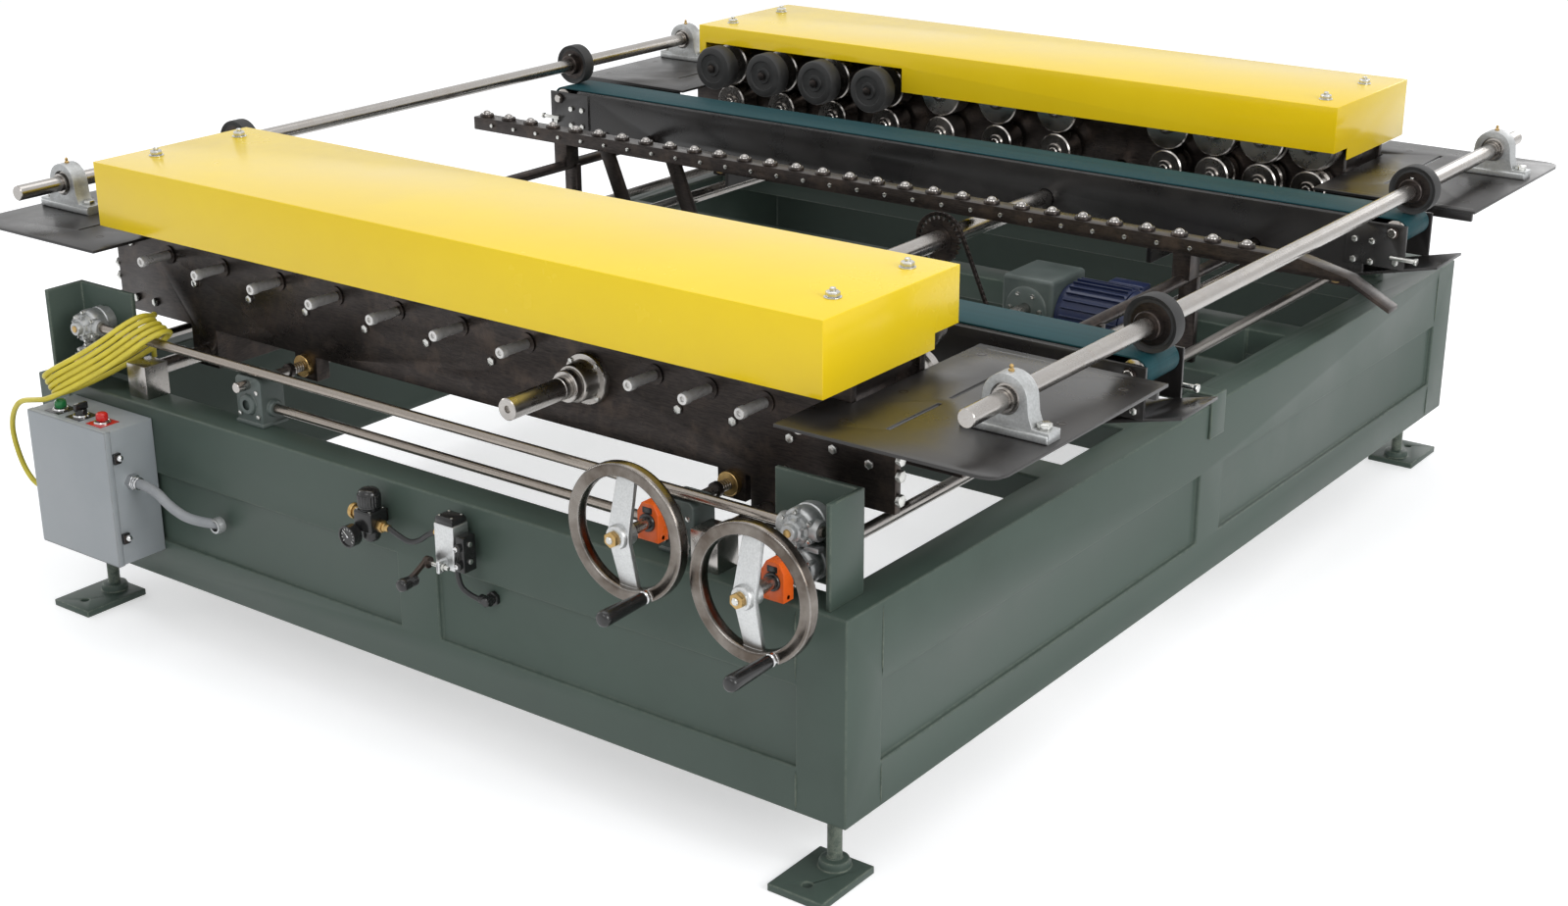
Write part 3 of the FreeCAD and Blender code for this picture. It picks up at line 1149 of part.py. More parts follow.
# Grey conduit from the box to the front panel, with the panel's bushing
def conduit():
    start = (size("box_left") + size("box_width") + 26, -size("gland_y"), size("fitting_z"))
    panel = -size("base_width") / 2 + size("recess")
    end = (size("conduit_x"), panel - 16, size("conduit_z"))
    points = [start, (start[0] + 44, start[1], start[2]), (start[0] + 86, start[1] + 2, start[2] - 30),
              (end[0] - 35, end[1] - 36, end[2] + 9), end]
    tube, wire = route(points, size("conduit"), "conduit", 3 * size("conduit") / 2)
    ring = rod("conduit_bushing", "Y", "conduit + 12", "16",
               ("conduit_x", "-%s + recess - 16" % HALF_Y, "conduit_z"))
    return tube_object("conduit_tube", [tube]), ring


# Air regulator with gauge and ports, its knob, the hand valve and its lever, on the front panel
REGULATOR_Y = "(-%s - panel_standoff - regulator_body / 2)" % HALF_Y
VALVE_Y = "(-%s - panel_standoff - valve_depth / 2)" % HALF_Y


def air_regulator():
    x, z = "regulator_x", "regulator_z"
    body = block("regulator_block", ("regulator_body", "regulator_body", "regulator_height"),
                 (x, REGULATOR_Y, z + " - regulator_height / 2"))
    bowl = rod("regulator_bowl", "Z", "bowl", "bowl_height",
               (x, REGULATOR_Y, z + " - regulator_height / 2 - bowl_height"))
    neck = rod("regulator_neck", "Z", "knob * 0.8", "regulator_neck",
               (x, REGULATOR_Y, z + " + regulator_height / 2"))
    arm = block("regulator_arm", ("regulator_body * 0.5", "panel_standoff", "regulator_height * 0.6"),
                (x, "-%s - panel_standoff / 2" % HALF_Y, z + " - regulator_height * 0.3"))
    gauge = rod("gauge_case", "Y", "gauge", "gauge_thick",
                (x + " - 18", "%s - regulator_body / 2 - gauge_thick" % REGULATOR_Y, z + " - 26"))
    inlet = hexagon("inlet_port", "X", "30", "24",
                    (x + " - regulator_body / 2 - 24", REGULATOR_Y, z + " + 6"))
    outlet = hexagon("outlet_port", "X", "24", "26",
                     (x + " + regulator_body / 2", REGULATOR_Y, z + " - 8"))
    case = fuse("regulator_case", [body, bowl, neck, arm, gauge, inlet, outlet])
    bore = rod("inlet_bore", "X", "15", "20",
               (x + " - regulator_body / 2 - 30", REGULATOR_Y, z + " + 6"))
    return cut("air_regulator", case, [bore])


def regulator_knob():
    points = [("0", "0"), ("knob / 2", "0"), ("knob / 2", "knob_height - 6"),
              ("knob / 2 - 5", "knob_height"),
              ("0", "knob_height")]
    return turned("regulator_knob", "Z", points, ("regulator_x", REGULATOR_Y,
                  "regulator_z + regulator_height / 2 + regulator_neck + part_gap"))


def air_valve():
    x, z = "valve_x", "valve_z"
    body = block("valve_block", ("valve_width", "valve_depth", "valve_height"),
                 (x, VALVE_Y, z + " - valve_height / 2"))
    cap = block("valve_cap", ("valve_width - 4", "valve_depth - 4", "14"),
                (x, VALVE_Y, z + " + valve_height / 2"))
    side = block("valve_manifold", ("20", "valve_depth - 8", "valve_height * 0.8"),
                 (x + " + valve_width / 2 + 10", VALVE_Y, z + " - valve_height * 0.5"))
    arm = block("valve_arm", ("valve_width * 0.5", "panel_standoff", "valve_height * 0.5"),
                (x, "-%s - panel_standoff / 2" % HALF_Y, z + " - valve_height * 0.2"))
    inlet = hexagon("valve_inlet", "X", "18", "16",
                    (x + " - valve_width / 2 - 16", VALVE_Y, z + " + 14"))
    outlet = rod("valve_outlet", "Z", "18", "16", (x + " + 9", VALVE_Y, z + " - valve_height / 2 - 6"))
    seat = rod("valve_pivot", "X", "lever_pin", "valve_width + 12",
               (x + " - valve_width / 2 - 12", "%s - valve_depth / 2 - 14" % VALVE_Y,
                z + " - valve_height / 2 + 12"))
    ear = block("valve_ear", ("8", "24", "24"),
                (x + " + 4", "%s - valve_depth / 2 - 11" % VALVE_Y, z + " - valve_height / 2"))
    return fuse("air_valve", [body, cap, side, arm, inlet, outlet, seat, ear])


def valve_lever():
    """A hand lever on the valve's pivot, with a grip that narrows at the hand."""
    x = "valve_x - valve_width / 2 - 5"
    y = "%s - valve_depth / 2 - 14" % VALVE_Y
    z = "valve_z - valve_height / 2 + 12"
    eye = rod("lever_eye", "X", "lever_pin + 14", "10", (x + " - 5", y, z))
    outline = [("-4", "-6"), ("-lever_length", "-30"), ("-lever_length - 4", "-19"), ("-4", "8")]
    arm = padded("lever_arm", "YZ_Plane", outline, "lever_thick * 0.7", (x, y, z))
    grip_end = rod("lever_grip", "Y", "24", "42", (x, "%s - lever_length - 14" % y, z + " - 22"))
    blank = fuse("lever_blank", [eye, arm, grip_end])
    bore = rod("lever_bore", "X", "lever_pin + %s" % RUNNING, "60", (x + " - 30", y, z))
    return cut("valve_lever", blank, [bore])


def trimmed(tube, corner, low):
    """A tube less what runs on past a port's face."""
    reach = 4 * size("hose")
    block_low = Vector(*corner) - Vector(reach / 2, reach / 2, reach / 2) + Vector(*low) * (reach / 2)
    return tube.cut(Part.makeBox(reach, reach, reach, block_low))


def air_hoses():
    regulator_y = -size("base_width") / 2 - size("panel_standoff") - size("regulator_body") / 2
    valve_y = -size("base_width") / 2 - size("panel_standoff") - size("valve_depth") / 2
    hose = size("hose")
    start = (size("regulator_x") + size("regulator_body") / 2 + 26, regulator_y,
             size("regulator_z") - 8)
    end = (size("valve_x") - size("valve_width") / 2 - 16, valve_y, size("valve_z") + 14)
    first = [(start[0] - 3, start[1], start[2] + 1), (start[0] + 25, start[1] - 1, start[2] - 8),
             (start[0] + 52, start[1] - 1, start[2] - 14), (start[0] + 78, start[1] + 1, start[2] - 4),
             (end[0] - 19, end[1] - 1, end[2] - 9), (end[0] + 3, end[1], end[2] + 1)]
    outlet = (size("valve_x") + 9, valve_y, size("valve_z") - size("valve_height") / 2 - 6)
    port = (size("bulkhead_x") - 18, -size("base_width") / 2 + size("recess") - 22, size("bulkhead_z"))
    second = [(outlet[0], valve_y, outlet[2] + 3), (outlet[0], valve_y + 2, outlet[2] - 28),
              (outlet[0] + 12, valve_y + 12, port[2] + 8), (port[0] + 2, port[1], port[2])]
    tubes = [route(points, hose, name, 3 * hose)[0] for points,
             name in ((first, "valve hose"), (second, "panel hose"))]
    tubes = [trimmed(trimmed(tubes[0], start, (-1, 0, 0)), end, (1, 0, 0)),
             trimmed(trimmed(tubes[1], outlet, (0, 0, 1)), port, (1, 0, 0))]
    bulkhead = rod("bulkhead_nut", "Y", "30", "8",
                   ("bulkhead_x", "-%s + recess - 8" % HALF_Y, "bulkhead_z"))
    elbow = block("bulkhead_elbow", ("36", "20", "18"),
                  ("bulkhead_x", "-%s + recess - 18" % HALF_Y, "bulkhead_z - 9"))
    return tube_object("hose_tubes", tubes), fuse("bulkhead", [bulkhead, elbow])


# Assembly: one object for each node, named as its file
SIDES = ((-1, "near"), (1, "far"))
wheel_start = "-wheel_y - dish"
nodes = {}


def node(name, item):
    item.Label = name
    nodes[name] = item


node("base_frame", base_frame())
node("levelling_feet", levelling_feet())
node("guide_rails", guide_rails())
node("corner_brackets", group("bracket_group", [corner_brackets(), stop_bracket()]))
node("far_drive_gearboxes", far_gearboxes())
node("near_drive_gearboxes", near_gearboxes())
node("screw_bearings", screw_bearings())
node("position_indicators", indicators())
for side, word in SIDES:
    node("%s_head_frame" % word, head_frame(side, word))
    node("%s_gear_case" % word, gear_case(side, word))
    node("%s_cover" % word, cover(side, word))
    node("%s_tables" % word, tables(side, word))
    node("%s_rolls" % word, rolls(side, word))
    node("%s_belt_bed" % word, belt_bed(side, word))
    node("%s_belt" % word, belt(side, word))
    node("%s_drive_roller" % word, belt_roller(side, word, -1, "drive"))
    node("%s_idler_roller" % word, belt_roller(side, word, 1, "idler"))
    bearings = pillow_blocks(side, word) + shaft_bearings(side, word) + screw_nuts(side, word)
    node("%s_bearings" % word, group("%s_bearing_group" % word, bearings))
for x_sign, use in ((-1, "entry"), (1, "exit")):
    near_wheel = hold_wheel("near_%s_tyre" % use, x_sign, -1)
    node("%s_hold_shaft" % use, group("%s_hold_group" % use, [hold_shaft(x_sign, use), near_wheel]))
    node("far_%s_wheel" % use, hold_wheel("far_%s_tyre" % use, x_sign, 1))

node("main_drive_shaft", drive_shaft())
node("gear_reducer", gear_reducer())
node("reducer_output_shaft", output_shaft())
node("drive_motor", motor())
node("drive_chain", chain())

node("near_screw_left", screw("near_left_bar", "near_screw_left_x", "near_screw_z", "near_screw",
                              "-lower_shaft_y - near_box_length", "-near_screw_end"))
near_wheel, near_reach = handwheel("near_screw_right_x", "near_screw_z", "near_screw")
near_bar = screw("near_right_bar", "near_screw_right_x", "near_screw_z", "near_screw", wheel_start,
                 "-near_screw_end")
node("near_screw_right", fuse("near_right_screw", [near_bar, near_wheel]))
node("far_screw_left", screw("far_left_bar", "-far_screw_x", "far_screw_z", "far_screw",
                             "-casting_front - 6", "far_beam_y + screw_block_length"))
far_wheel, far_reach = handwheel("far_screw_x", "far_screw_z", "far_screw")
far_bar = screw("far_right_bar", "far_screw_x", "far_screw_z", "far_screw", wheel_start,
                "far_beam_y + screw_block_length")
node("far_screw_right", fuse("far_right_screw", [far_bar, far_wheel]))
node("near_grip", grip("near_grip_body", near_reach))
node("far_grip", grip("far_grip_body", far_reach))
reach = "far_screw_x + casting / 2 + 12"
node("upper_cross_shaft", rod("upper_bar", "X", "cross_shaft", "2 * (%s)" % reach,
                              ("-(%s)" % reach, "-upper_shaft_y", "upper_shaft_z")))
low = "near_screw_left_x - near_box_width / 2 - 12"
node("lower_cross_shaft", rod("lower_bar", "X", "cross_shaft",
                              "near_screw_right_x - near_screw_left_x + near_box_width + 24",
                              (low, "-lower_shaft_y", "lower_shaft_z")))

node("ball_rail", ball_rail())
node("ball_transfers", ball_transfers())

node("control_box", control_box())
node("control_box_door", box_door())
node("start_button", button("green_button", -1, "cap"))
node("selector_switch", button("black_selector", 0, "knob"))
node("stop_button", button("red_button", 1, "cap"))
node("conduit", group("conduit_group", list(conduit())))
lead, hank, plug = cords()
node("cord_run", lead)
node("cord_hank", group("hank_group", [hank, plug]))
node("air_regulator", air_regulator())
node("regulator_knob", regulator_knob())
node("air_valve", air_valve())
node("valve_lever", valve_lever())
node("air_hoses", group("hose_group", list(air_hoses())))

# State and shape checks, then one file for each node
if "probe" in [item.Name for item in doc.Objects]:
    doc.removeObject("probe")
doc.recompute()
faulty = [item.Name for item in doc.Objects if "Invalid" in item.State or "Error" in item.State]
if faulty:
    raise RuntimeError("objects in error: %s" % faulty)
for name, item in nodes.items():
    if item.Shape.isNull() or not item.Shape.isValid() or not item.Shape.Solids:
        raise RuntimeError("faulty shape: %s" % name)
os.makedirs("parts", exist_ok=True)
for name, item in nodes.items():
    item.Shape.exportStep("parts/%s.step" % name)
    box = item.Shape.BoundBox
    print("%s: solids %d, volume %.4f l, X %.0f to %.0f, Y %.0f to %.0f, Z %.0f to %.0f"
          % (name, len(item.Shape.Solids), item.Shape.Volume / 1e6,
             box.XMin, box.XMax, box.YMin, box.YMax, box.ZMin, box.ZMax))
print("nodes: %d" % len(nodes))
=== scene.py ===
# Duct roll former, dressed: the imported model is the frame, and every piece here is fitted to it.
# Sizes are written in millimetres and become metres where a piece is placed.
import json
import math

import bpy
from mathutils import Matrix, Vector

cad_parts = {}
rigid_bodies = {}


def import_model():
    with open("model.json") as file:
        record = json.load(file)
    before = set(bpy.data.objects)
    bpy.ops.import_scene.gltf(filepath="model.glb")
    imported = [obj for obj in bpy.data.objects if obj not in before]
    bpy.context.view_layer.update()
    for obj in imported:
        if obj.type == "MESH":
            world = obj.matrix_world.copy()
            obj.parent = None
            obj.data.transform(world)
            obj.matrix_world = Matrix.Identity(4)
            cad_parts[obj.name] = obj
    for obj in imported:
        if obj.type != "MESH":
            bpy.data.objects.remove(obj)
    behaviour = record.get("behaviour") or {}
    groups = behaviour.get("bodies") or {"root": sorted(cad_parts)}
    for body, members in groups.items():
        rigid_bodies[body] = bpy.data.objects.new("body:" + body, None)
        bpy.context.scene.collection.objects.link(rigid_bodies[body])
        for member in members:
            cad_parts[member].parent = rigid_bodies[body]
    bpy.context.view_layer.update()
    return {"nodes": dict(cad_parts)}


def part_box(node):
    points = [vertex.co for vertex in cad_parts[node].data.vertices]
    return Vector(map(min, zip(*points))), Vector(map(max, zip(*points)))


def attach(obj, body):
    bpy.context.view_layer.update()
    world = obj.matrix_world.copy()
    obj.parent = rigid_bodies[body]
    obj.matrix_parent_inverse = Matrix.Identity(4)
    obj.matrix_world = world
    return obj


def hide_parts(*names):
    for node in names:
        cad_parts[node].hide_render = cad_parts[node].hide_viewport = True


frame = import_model()
MM = 0.001
TURN = {"X": (0, math.pi / 2, 0), "Y": (-math.pi / 2, 0, 0), "Z": (0, 0, 0)}

# Places taken from the model, in millimetres
PASS_LINE = 795
LOWER_AXIS, UPPER_AXIS, ROLLER_AXIS = PASS_LINE - 43, PASS_LINE + 57.2, PASS_LINE - 27.5
OUTER_FACE, INNER_FACE = 1075, 857
DRIVE_X, DRIVE_Z = 328, 716
OUTPUT_X, OUTPUT_Z = 430, 530
REDUCER_Y, MOTOR_START, MOTOR_Z = 334, 495, 514
HOLD_X, HOLD_Z, HOLD_WHEEL_Y, PILLOW_Y = 1168, 846, 574, 1041
BELT_Y, ROLLER_X = 566, 1160
RAIL_Y, FIRST_BALL, BALL_PITCH, BALL_COUNT = 178, -1118, 75, 29
NEAR_SCREWS, NEAR_SCREW_Z = (645, -419), 592
FAR_SCREWS, FAR_SCREW_Z = (899, -899), 554
UPPER_SHAFT, LOWER_SHAFT = (-1219, 622), (-1194, 544)
WHEEL_Y = -1347


# Bench work: small helpers that do what a hand does in the viewport
def mm(*values):
    return Vector(values) * MM


def let_go():
    if bpy.context.object and bpy.context.object.mode != "OBJECT":
        bpy.ops.object.mode_set(mode="OBJECT")
    bpy.ops.object.select_all(action="DESELECT")


def pick(*items):
    let_go()
    for item in items:
        item.select_set(True)
    bpy.context.view_layer.objects.active = items[-1]
    return items[-1]


def settle(item):
    """Puts an object's place, turn and size into its mesh."""
    pick(item)
    bpy.ops.object.transform_apply(location=True, rotation=True, scale=True)
    return item


def modify(item, kind, **settings):
    pick(item)
    step = item.modifiers.new(kind.lower(), kind)
    for word, value in settings.items():
        setattr(step, word, value)
    bpy.ops.object.modifier_apply(modifier=step.name)
    return item


def ease(item, width, segments=2, angle=30):
    """Rounds the edges sharper than an angle."""
    return modify(item, "BEVEL", width=width * MM, segments=segments, limit_method="ANGLE",
                  angle_limit=math.radians(angle), use_clamp_overlap=True)


def smooth(item, angle=35):
    pick(item)
    bpy.ops.object.shade_smooth_by_angle(angle=math.radians(angle))
    return item


def slab(size, centre, edge=1.0, segments=2):
    """A block with eased edges, by its lengths and its middle."""
    let_go()
    bpy.ops.mesh.primitive_cube_add(size=1, location=mm(*centre))
    item = bpy.context.object
    item.scale = mm(*size)
    settle(item)
    return ease(item, edge, segments) if edge else item


def bar(radius, length, start, axis="Y", edge=1.0, sides=48):
    """A round bar with eased ends, from its start along an axis."""
    let_go()
    middle = Vector(start) + Vector([length / 2 if axis == word else 0 for word in "XYZ"])
    bpy.ops.mesh.primitive_cylinder_add(vertices=sides, radius=radius * MM, depth=length * MM,
                                        location=middle * MM, rotation=TURN[axis])
    item = settle(bpy.context.object)
    return ease(item, edge, 2, 50) if edge else item


def nut(across, height, start, axis="Z", edge=0.8):
    """A hexagon head or nut."""
    return ease(bar(across / 2 / math.cos(math.pi / 6), height, start, axis, 0, 6), edge, 2, 50)


def lathe(profile, place, axis="Z", steps=48):
    """A turned shape: its half outline is drawn point by point and spun round the axis."""
    let_go()
    bpy.ops.mesh.primitive_plane_add(size=1)
    item = bpy.context.object
    bpy.ops.object.mode_set(mode="EDIT")
    bpy.ops.mesh.select_all(action="SELECT")
    bpy.ops.mesh.merge(type="CENTER")
    bpy.ops.transform.translate(value=mm(profile[0][0], 0, profile[0][1]))
    for (before, low), (after, high) in zip(profile, profile[1:]):
        bpy.ops.mesh.extrude_region_move(
            TRANSFORM_OT_translate={"value": mm(after - before, 0, high - low)})
    bpy.ops.mesh.select_all(action="SELECT")
    bpy.ops.mesh.spin(steps=steps, angle=2 * math.pi, center=(0, 0, 0), axis=(0, 0, 1))
    bpy.ops.mesh.select_all(action="SELECT")
    bpy.ops.mesh.remove_doubles(threshold=1e-5)
    bpy.ops.mesh.normals_make_consistent(inside=False)
    bpy.ops.object.mode_set(mode="OBJECT")
    item.rotation_euler = TURN[axis]
    item.location = mm(*place)
    return settle(item)


def cutout(outlines, thickness, place, plane="XY", edge=0.8, segments=2):
    """A flat piece cut from plate: the first outline is its edge and the others are its holes."""
    let_go()
    bpy.ops.curve.primitive_bezier_curve_add()
    item = bpy.context.object
    drawing = item.data
    drawing.splines.clear()
    drawing.dimensions = "2D"
    drawing.fill_mode = "BOTH"
    drawing.extrude = thickness * MM / 2
    for outline in outlines:
        line = drawing.splines.new("POLY")
        line.points.add(len(outline) - 1)
        for point, (across, up) in zip(line.points, outline):
            point.co = (across * MM, up * MM, 0, 1)
        line.use_cyclic_u = True
    bpy.ops.object.convert(target="MESH")
    item = bpy.context.object
    item.rotation_euler = {"XY": (0, 0, 0), "XZ": (math.pi / 2, 0, 0),
                           "YZ": (math.pi / 2, 0, math.pi / 2)}[plane]
    item.location = mm(*place)
    settle(item)
    bpy.ops.object.mode_set(mode="EDIT")
    bpy.ops.mesh.select_all(action="SELECT")
    bpy.ops.mesh.remove_doubles(threshold=1e-6)
    bpy.ops.mesh.normals_make_consistent(inside=False)
    bpy.ops.object.mode_set(mode="OBJECT")
    return ease(item, edge, segments) if edge else item


def ring_line(radius, middle=(0, 0), sides=24, start=0):
    """Corners of a round or many-sided hole or edge."""
    angles = [start + 2 * math.pi * step / sides for step in range(sides)]
    return [(middle[0] + radius * math.cos(angle), middle[1] + radius * math.sin(angle))
            for angle in angles]


def hoop(radius, thickness, place, axis="Y", sides=40, around=8):
    """A round rim or ring."""
    let_go()
    bpy.ops.mesh.primitive_torus_add(location=mm(*place), rotation=TURN[axis], major_segments=sides,
                                     minor_segments=around, major_radius=radius * MM,
                                     minor_radius=thickness * MM / 2)
    return settle(bpy.context.object)


def shift(item, *step):
    item.location = item.location + mm(*step)
    return settle(item)


def turn(item, centre, axis, degrees):
    """Turns a piece round a point."""
    spin = Matrix.Rotation(math.radians(degrees), 4, axis)
    middle = Matrix.Translation(mm(*centre))
    item.matrix_world = middle @ spin @ middle.inverted() @ item.matrix_world
    return settle(item)


def again(item, *step):
    """A copy of a piece, moved by a step."""
    pick(item)
    bpy.ops.object.duplicate(linked=False)
    return shift(bpy.context.object, *step)


def coat(item, material):
    item.data.materials.clear()
    item.data.materials.append(material)
    return item


def fit(name, parts, body, nodes=(), angle=35):
    """Joins parts into one named piece that rides on a body and stands for CAD nodes."""
    item = pick(*parts)
    if len(parts) > 1:
        bpy.ops.object.join()
    item = bpy.context.object
    item.name = name
    item.data.name = name
    smooth(item, angle)
    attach(item, body)
    if nodes:
        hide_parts(*nodes)
    return item


def own_shape(node):
    """A copy of a node's own shape with its seams merged."""
    pick(frame["nodes"][node])
    bpy.ops.object.duplicate(linked=False)
    item = bpy.context.object
    item.parent = None
    bpy.ops.object.mode_set(mode="EDIT")
    bpy.ops.mesh.select_all(action="SELECT")
    bpy.ops.mesh.remove_doubles(threshold=1e-6)
    bpy.ops.mesh.dissolve_limited(angle_limit=math.radians(0.5))
    bpy.ops.object.mode_set(mode="OBJECT")
    return item


def refit(name, node, material, body, edge):
    """A node's own shape with its edges eased and its round faces smooth."""
    item = ease(own_shape(node), edge, 2, 40)
    fit(name, [coat(item, material)], body, [node])


# Finishes
def tree_of(name):
    material = bpy.data.materials.new(name)
    material.use_nodes = True
    tree = material.node_tree
    shader = tree.nodes["Principled BSDF"]
    place = tree.nodes.new("ShaderNodeTexCoord").outputs["Object"]
    return material, tree, shader, place


def noise(tree, place, scale, detail=4, rough=0.5, stretch=None):
    """A noise pattern of so many cells a metre, stretched along an axis if asked."""
    if stretch:
        drawn = tree.nodes.new("ShaderNodeMapping")
        drawn.inputs["Scale"].default_value = stretch
        tree.links.new(place, drawn.inputs["Vector"])
        place = drawn.outputs["Vector"]
    pattern = tree.nodes.new("ShaderNodeTexNoise")
    pattern.inputs["Scale"].default_value = scale
    pattern.inputs["Detail"].default_value = detail
    pattern.inputs["Roughness"].default_value = rough
    tree.links.new(place, pattern.inputs["Vector"])
    return pattern.outputs["Fac"]


def spread(tree, value, low, high, start=0.35, end=0.65):
    """Maps part of a pattern's range to a range of values."""
    step = tree.nodes.new("ShaderNodeMapRange")
    step.inputs["From Min"].default_value = start
    step.inputs["From Max"].default_value = end
    step.inputs["To Min"].default_value = low
    step.inputs["To Max"].default_value = high
    tree.links.new(value, step.inputs["Value"])
    return step.outputs["Result"]


def blend_colour(tree, share, first, second):
    mix = tree.nodes.new("ShaderNodeMix")
    mix.data_type = "RGBA"
    tree.links.new(share, mix.inputs["Factor"])
    for socket, colour in ((mix.inputs[6], first), (mix.inputs[7], second)):
        if isinstance(colour, tuple):
            socket.default_value = (*colour, 1)
        else:
            tree.links.new(colour, socket)
    return mix.outputs[2]


def edges(tree, radius=1.5):
    """Edge mask for worn edges and for painted edge highlights: where a softened normal departs from
    the face's own.
    """
    soft = tree.nodes.new("ShaderNodeBevel")
    soft.samples = 4
    soft.inputs["Radius"].default_value = radius * MM
    own = tree.nodes.new("ShaderNodeNewGeometry")
    compare = tree.nodes.new("ShaderNodeVectorMath")
    compare.operation = "DOT_PRODUCT"
    tree.links.new(soft.outputs["Normal"], compare.inputs[0])
    tree.links.new(own.outputs["Normal"], compare.inputs[1])
    return soft.outputs["Normal"], spread(tree, compare.outputs["Value"], 1, 0, 0.80, 0.985)


def bump(tree, shader, height, strength, distance, normal=None):
    step = tree.nodes.new("ShaderNodeBump")
    step.inputs["Strength"].default_value = strength
    step.inputs["Distance"].default_value = distance * MM
    tree.links.new(height, step.inputs["Height"])
    if normal:
        tree.links.new(normal, step.inputs["Normal"])
    tree.links.new(step.outputs["Normal"], shader.inputs["Normal"])


def paint(name, colour, shade, rough=0.45, blotch=2.5, grain=350, relief=0.15, edge_wear_and_highlight=None,
          coat_share=0.0, shine=0.5, wear_and_highlight_reach=2.2):
    """Paint with broad changes of shade, a fine orange-peel surface and an edge colour: wear on most
    finishes, a painted highlight along the edges of the grey-green base paint.
    """
    material, tree, shader, place = tree_of(name)
    broad = spread(tree, noise(tree, place, blotch, 6, 0.6), 0, 1)
    fine = noise(tree, place, grain, 2)
    body = blend_colour(tree, broad, colour, shade)
    normal = None
    # The edge colour is wear on most finishes and a painted highlight on the grey-green base paint.
    if edge_wear_and_highlight:
        normal, edge = edges(tree, wear_and_highlight_reach)
        speck = spread(tree, noise(tree, place, 60, 6, 0.7), 0, 1, 0.32, 0.55)
        both = tree.nodes.new("ShaderNodeMath")
        both.operation = "MULTIPLY"
        tree.links.new(edge, both.inputs[0])
        tree.links.new(speck, both.inputs[1])
        body = blend_colour(tree, both.outputs["Value"], body, edge_wear_and_highlight)
    tree.links.new(body, shader.inputs["Base Color"])
    tree.links.new(spread(tree, broad, rough - 0.06, rough + 0.08, 0, 1), shader.inputs["Roughness"])
    bump(tree, shader, fine, relief, 0.3, normal)
    shader.inputs["Specular IOR Level"].default_value = shine
    shader.inputs["Coat Weight"].default_value = coat_share
    shader.inputs["Coat Roughness"].default_value = 0.08
    return material


def metal(name, colour, shade, rough=0.3, stretch=(1, 1, 1), grain=120, relief=0.1, stain=None,
          shine=1.0):
    """Bare metal with a brushed or mill grain and stains."""
    material, tree, shader, place = tree_of(name)
    line = noise(tree, place, grain, 5, 0.6, stretch)
    broad = spread(tree, noise(tree, place, 7, 6, 0.65), 0, 1)
    body = blend_colour(tree, spread(tree, line, 0, 1), colour, shade)
    if stain:
        body = blend_colour(tree, spread(tree, noise(tree, place, 16, 8, 0.7), 0, 0.85, 0.5, 0.66),
                            body, stain)
    tree.links.new(body, shader.inputs["Base Color"])
    tree.links.new(spread(tree, broad, rough - 0.07, rough + 0.1, 0, 1), shader.inputs["Roughness"])
    shader.inputs["Metallic"].default_value = shine
    bump(tree, shader, line, relief, 0.2)
    return material


def moulded(name, colour, shade, rough=0.35, grain=500, relief=0.1):
    """Plastic or rubber with a faint moulded grain."""
    material, tree, shader, place = tree_of(name)
    broad = spread(tree, noise(tree, place, 30, 5, 0.6), 0, 1)
    tree.links.new(blend_colour(tree, broad, colour, shade), shader.inputs["Base Color"])
    tree.links.new(spread(tree, broad, rough - 0.05, rough + 0.08, 0, 1), shader.inputs["Roughness"])
    bump(tree, shader, noise(tree, place, grain, 3), relief, 0.2)
    return material


def rim_with_painted_light():
    """Handwheel rim: chrome darkened to brown-grey as a painted dark reflection, with a painted
    highlight brightening its edges.
    """
    material, tree, shader, place = tree_of("rim chrome with painted light")
    normal, edge = edges(tree, 3)
    broad = spread(tree, noise(tree, place, 14, 6, 0.6), 0, 1)
    # Dark brown-grey body: painted reflection of dark surroundings; light edge colour: painted
    # highlight.
    body = blend_colour(tree, broad, (0.09, 0.073, 0.06), (0.22, 0.20, 0.18))
    tree.links.new(blend_colour(tree, edge, body, (0.62, 0.61, 0.60)), shader.inputs["Base Color"])
    tree.links.new(spread(tree, broad, 0.16, 0.28, 0, 1), shader.inputs["Roughness"])
    shader.inputs["Metallic"].default_value = 1
    bump(tree, shader, noise(tree, place, 90, 4), 0.05, 0.2, normal)
    return material


def woven_belt():
    """Teal belt: a fine crossed weave in its face, with darker lanes where work has run."""
    material, tree, shader, place = tree_of("teal belt")
    waves = []
    for direction in ("X", "Y"):
        wave = tree.nodes.new("ShaderNodeTexWave")
        wave.bands_direction = direction
        wave.inputs["Scale"].default_value = 130
        tree.links.new(place, wave.inputs["Vector"])
        waves.append(wave.outputs["Fac"])
    weave = tree.nodes.new("ShaderNodeMath")
    weave.operation = "MAXIMUM"
    for socket, wave in enumerate(waves):
        tree.links.new(wave, weave.inputs[socket])
    lanes = spread(tree, noise(tree, place, 9, 5, 0.6, (0.1, 6, 1)), 0, 1)
    body = blend_colour(tree, lanes, (0.004, 0.032, 0.040), (0.008, 0.048, 0.057))
    body = blend_colour(tree, spread(tree, weave.outputs["Value"], 0, 0.35, 0.3, 1), body,
                        (0.017, 0.075, 0.085))
    tree.links.new(body, shader.inputs["Base Color"])
    shader.inputs["Roughness"].default_value = 0.6
    shader.inputs["Specular IOR Level"].default_value = 0.2
    bump(tree, shader, weave.outputs["Value"], 0.3, 0.4)
    return material
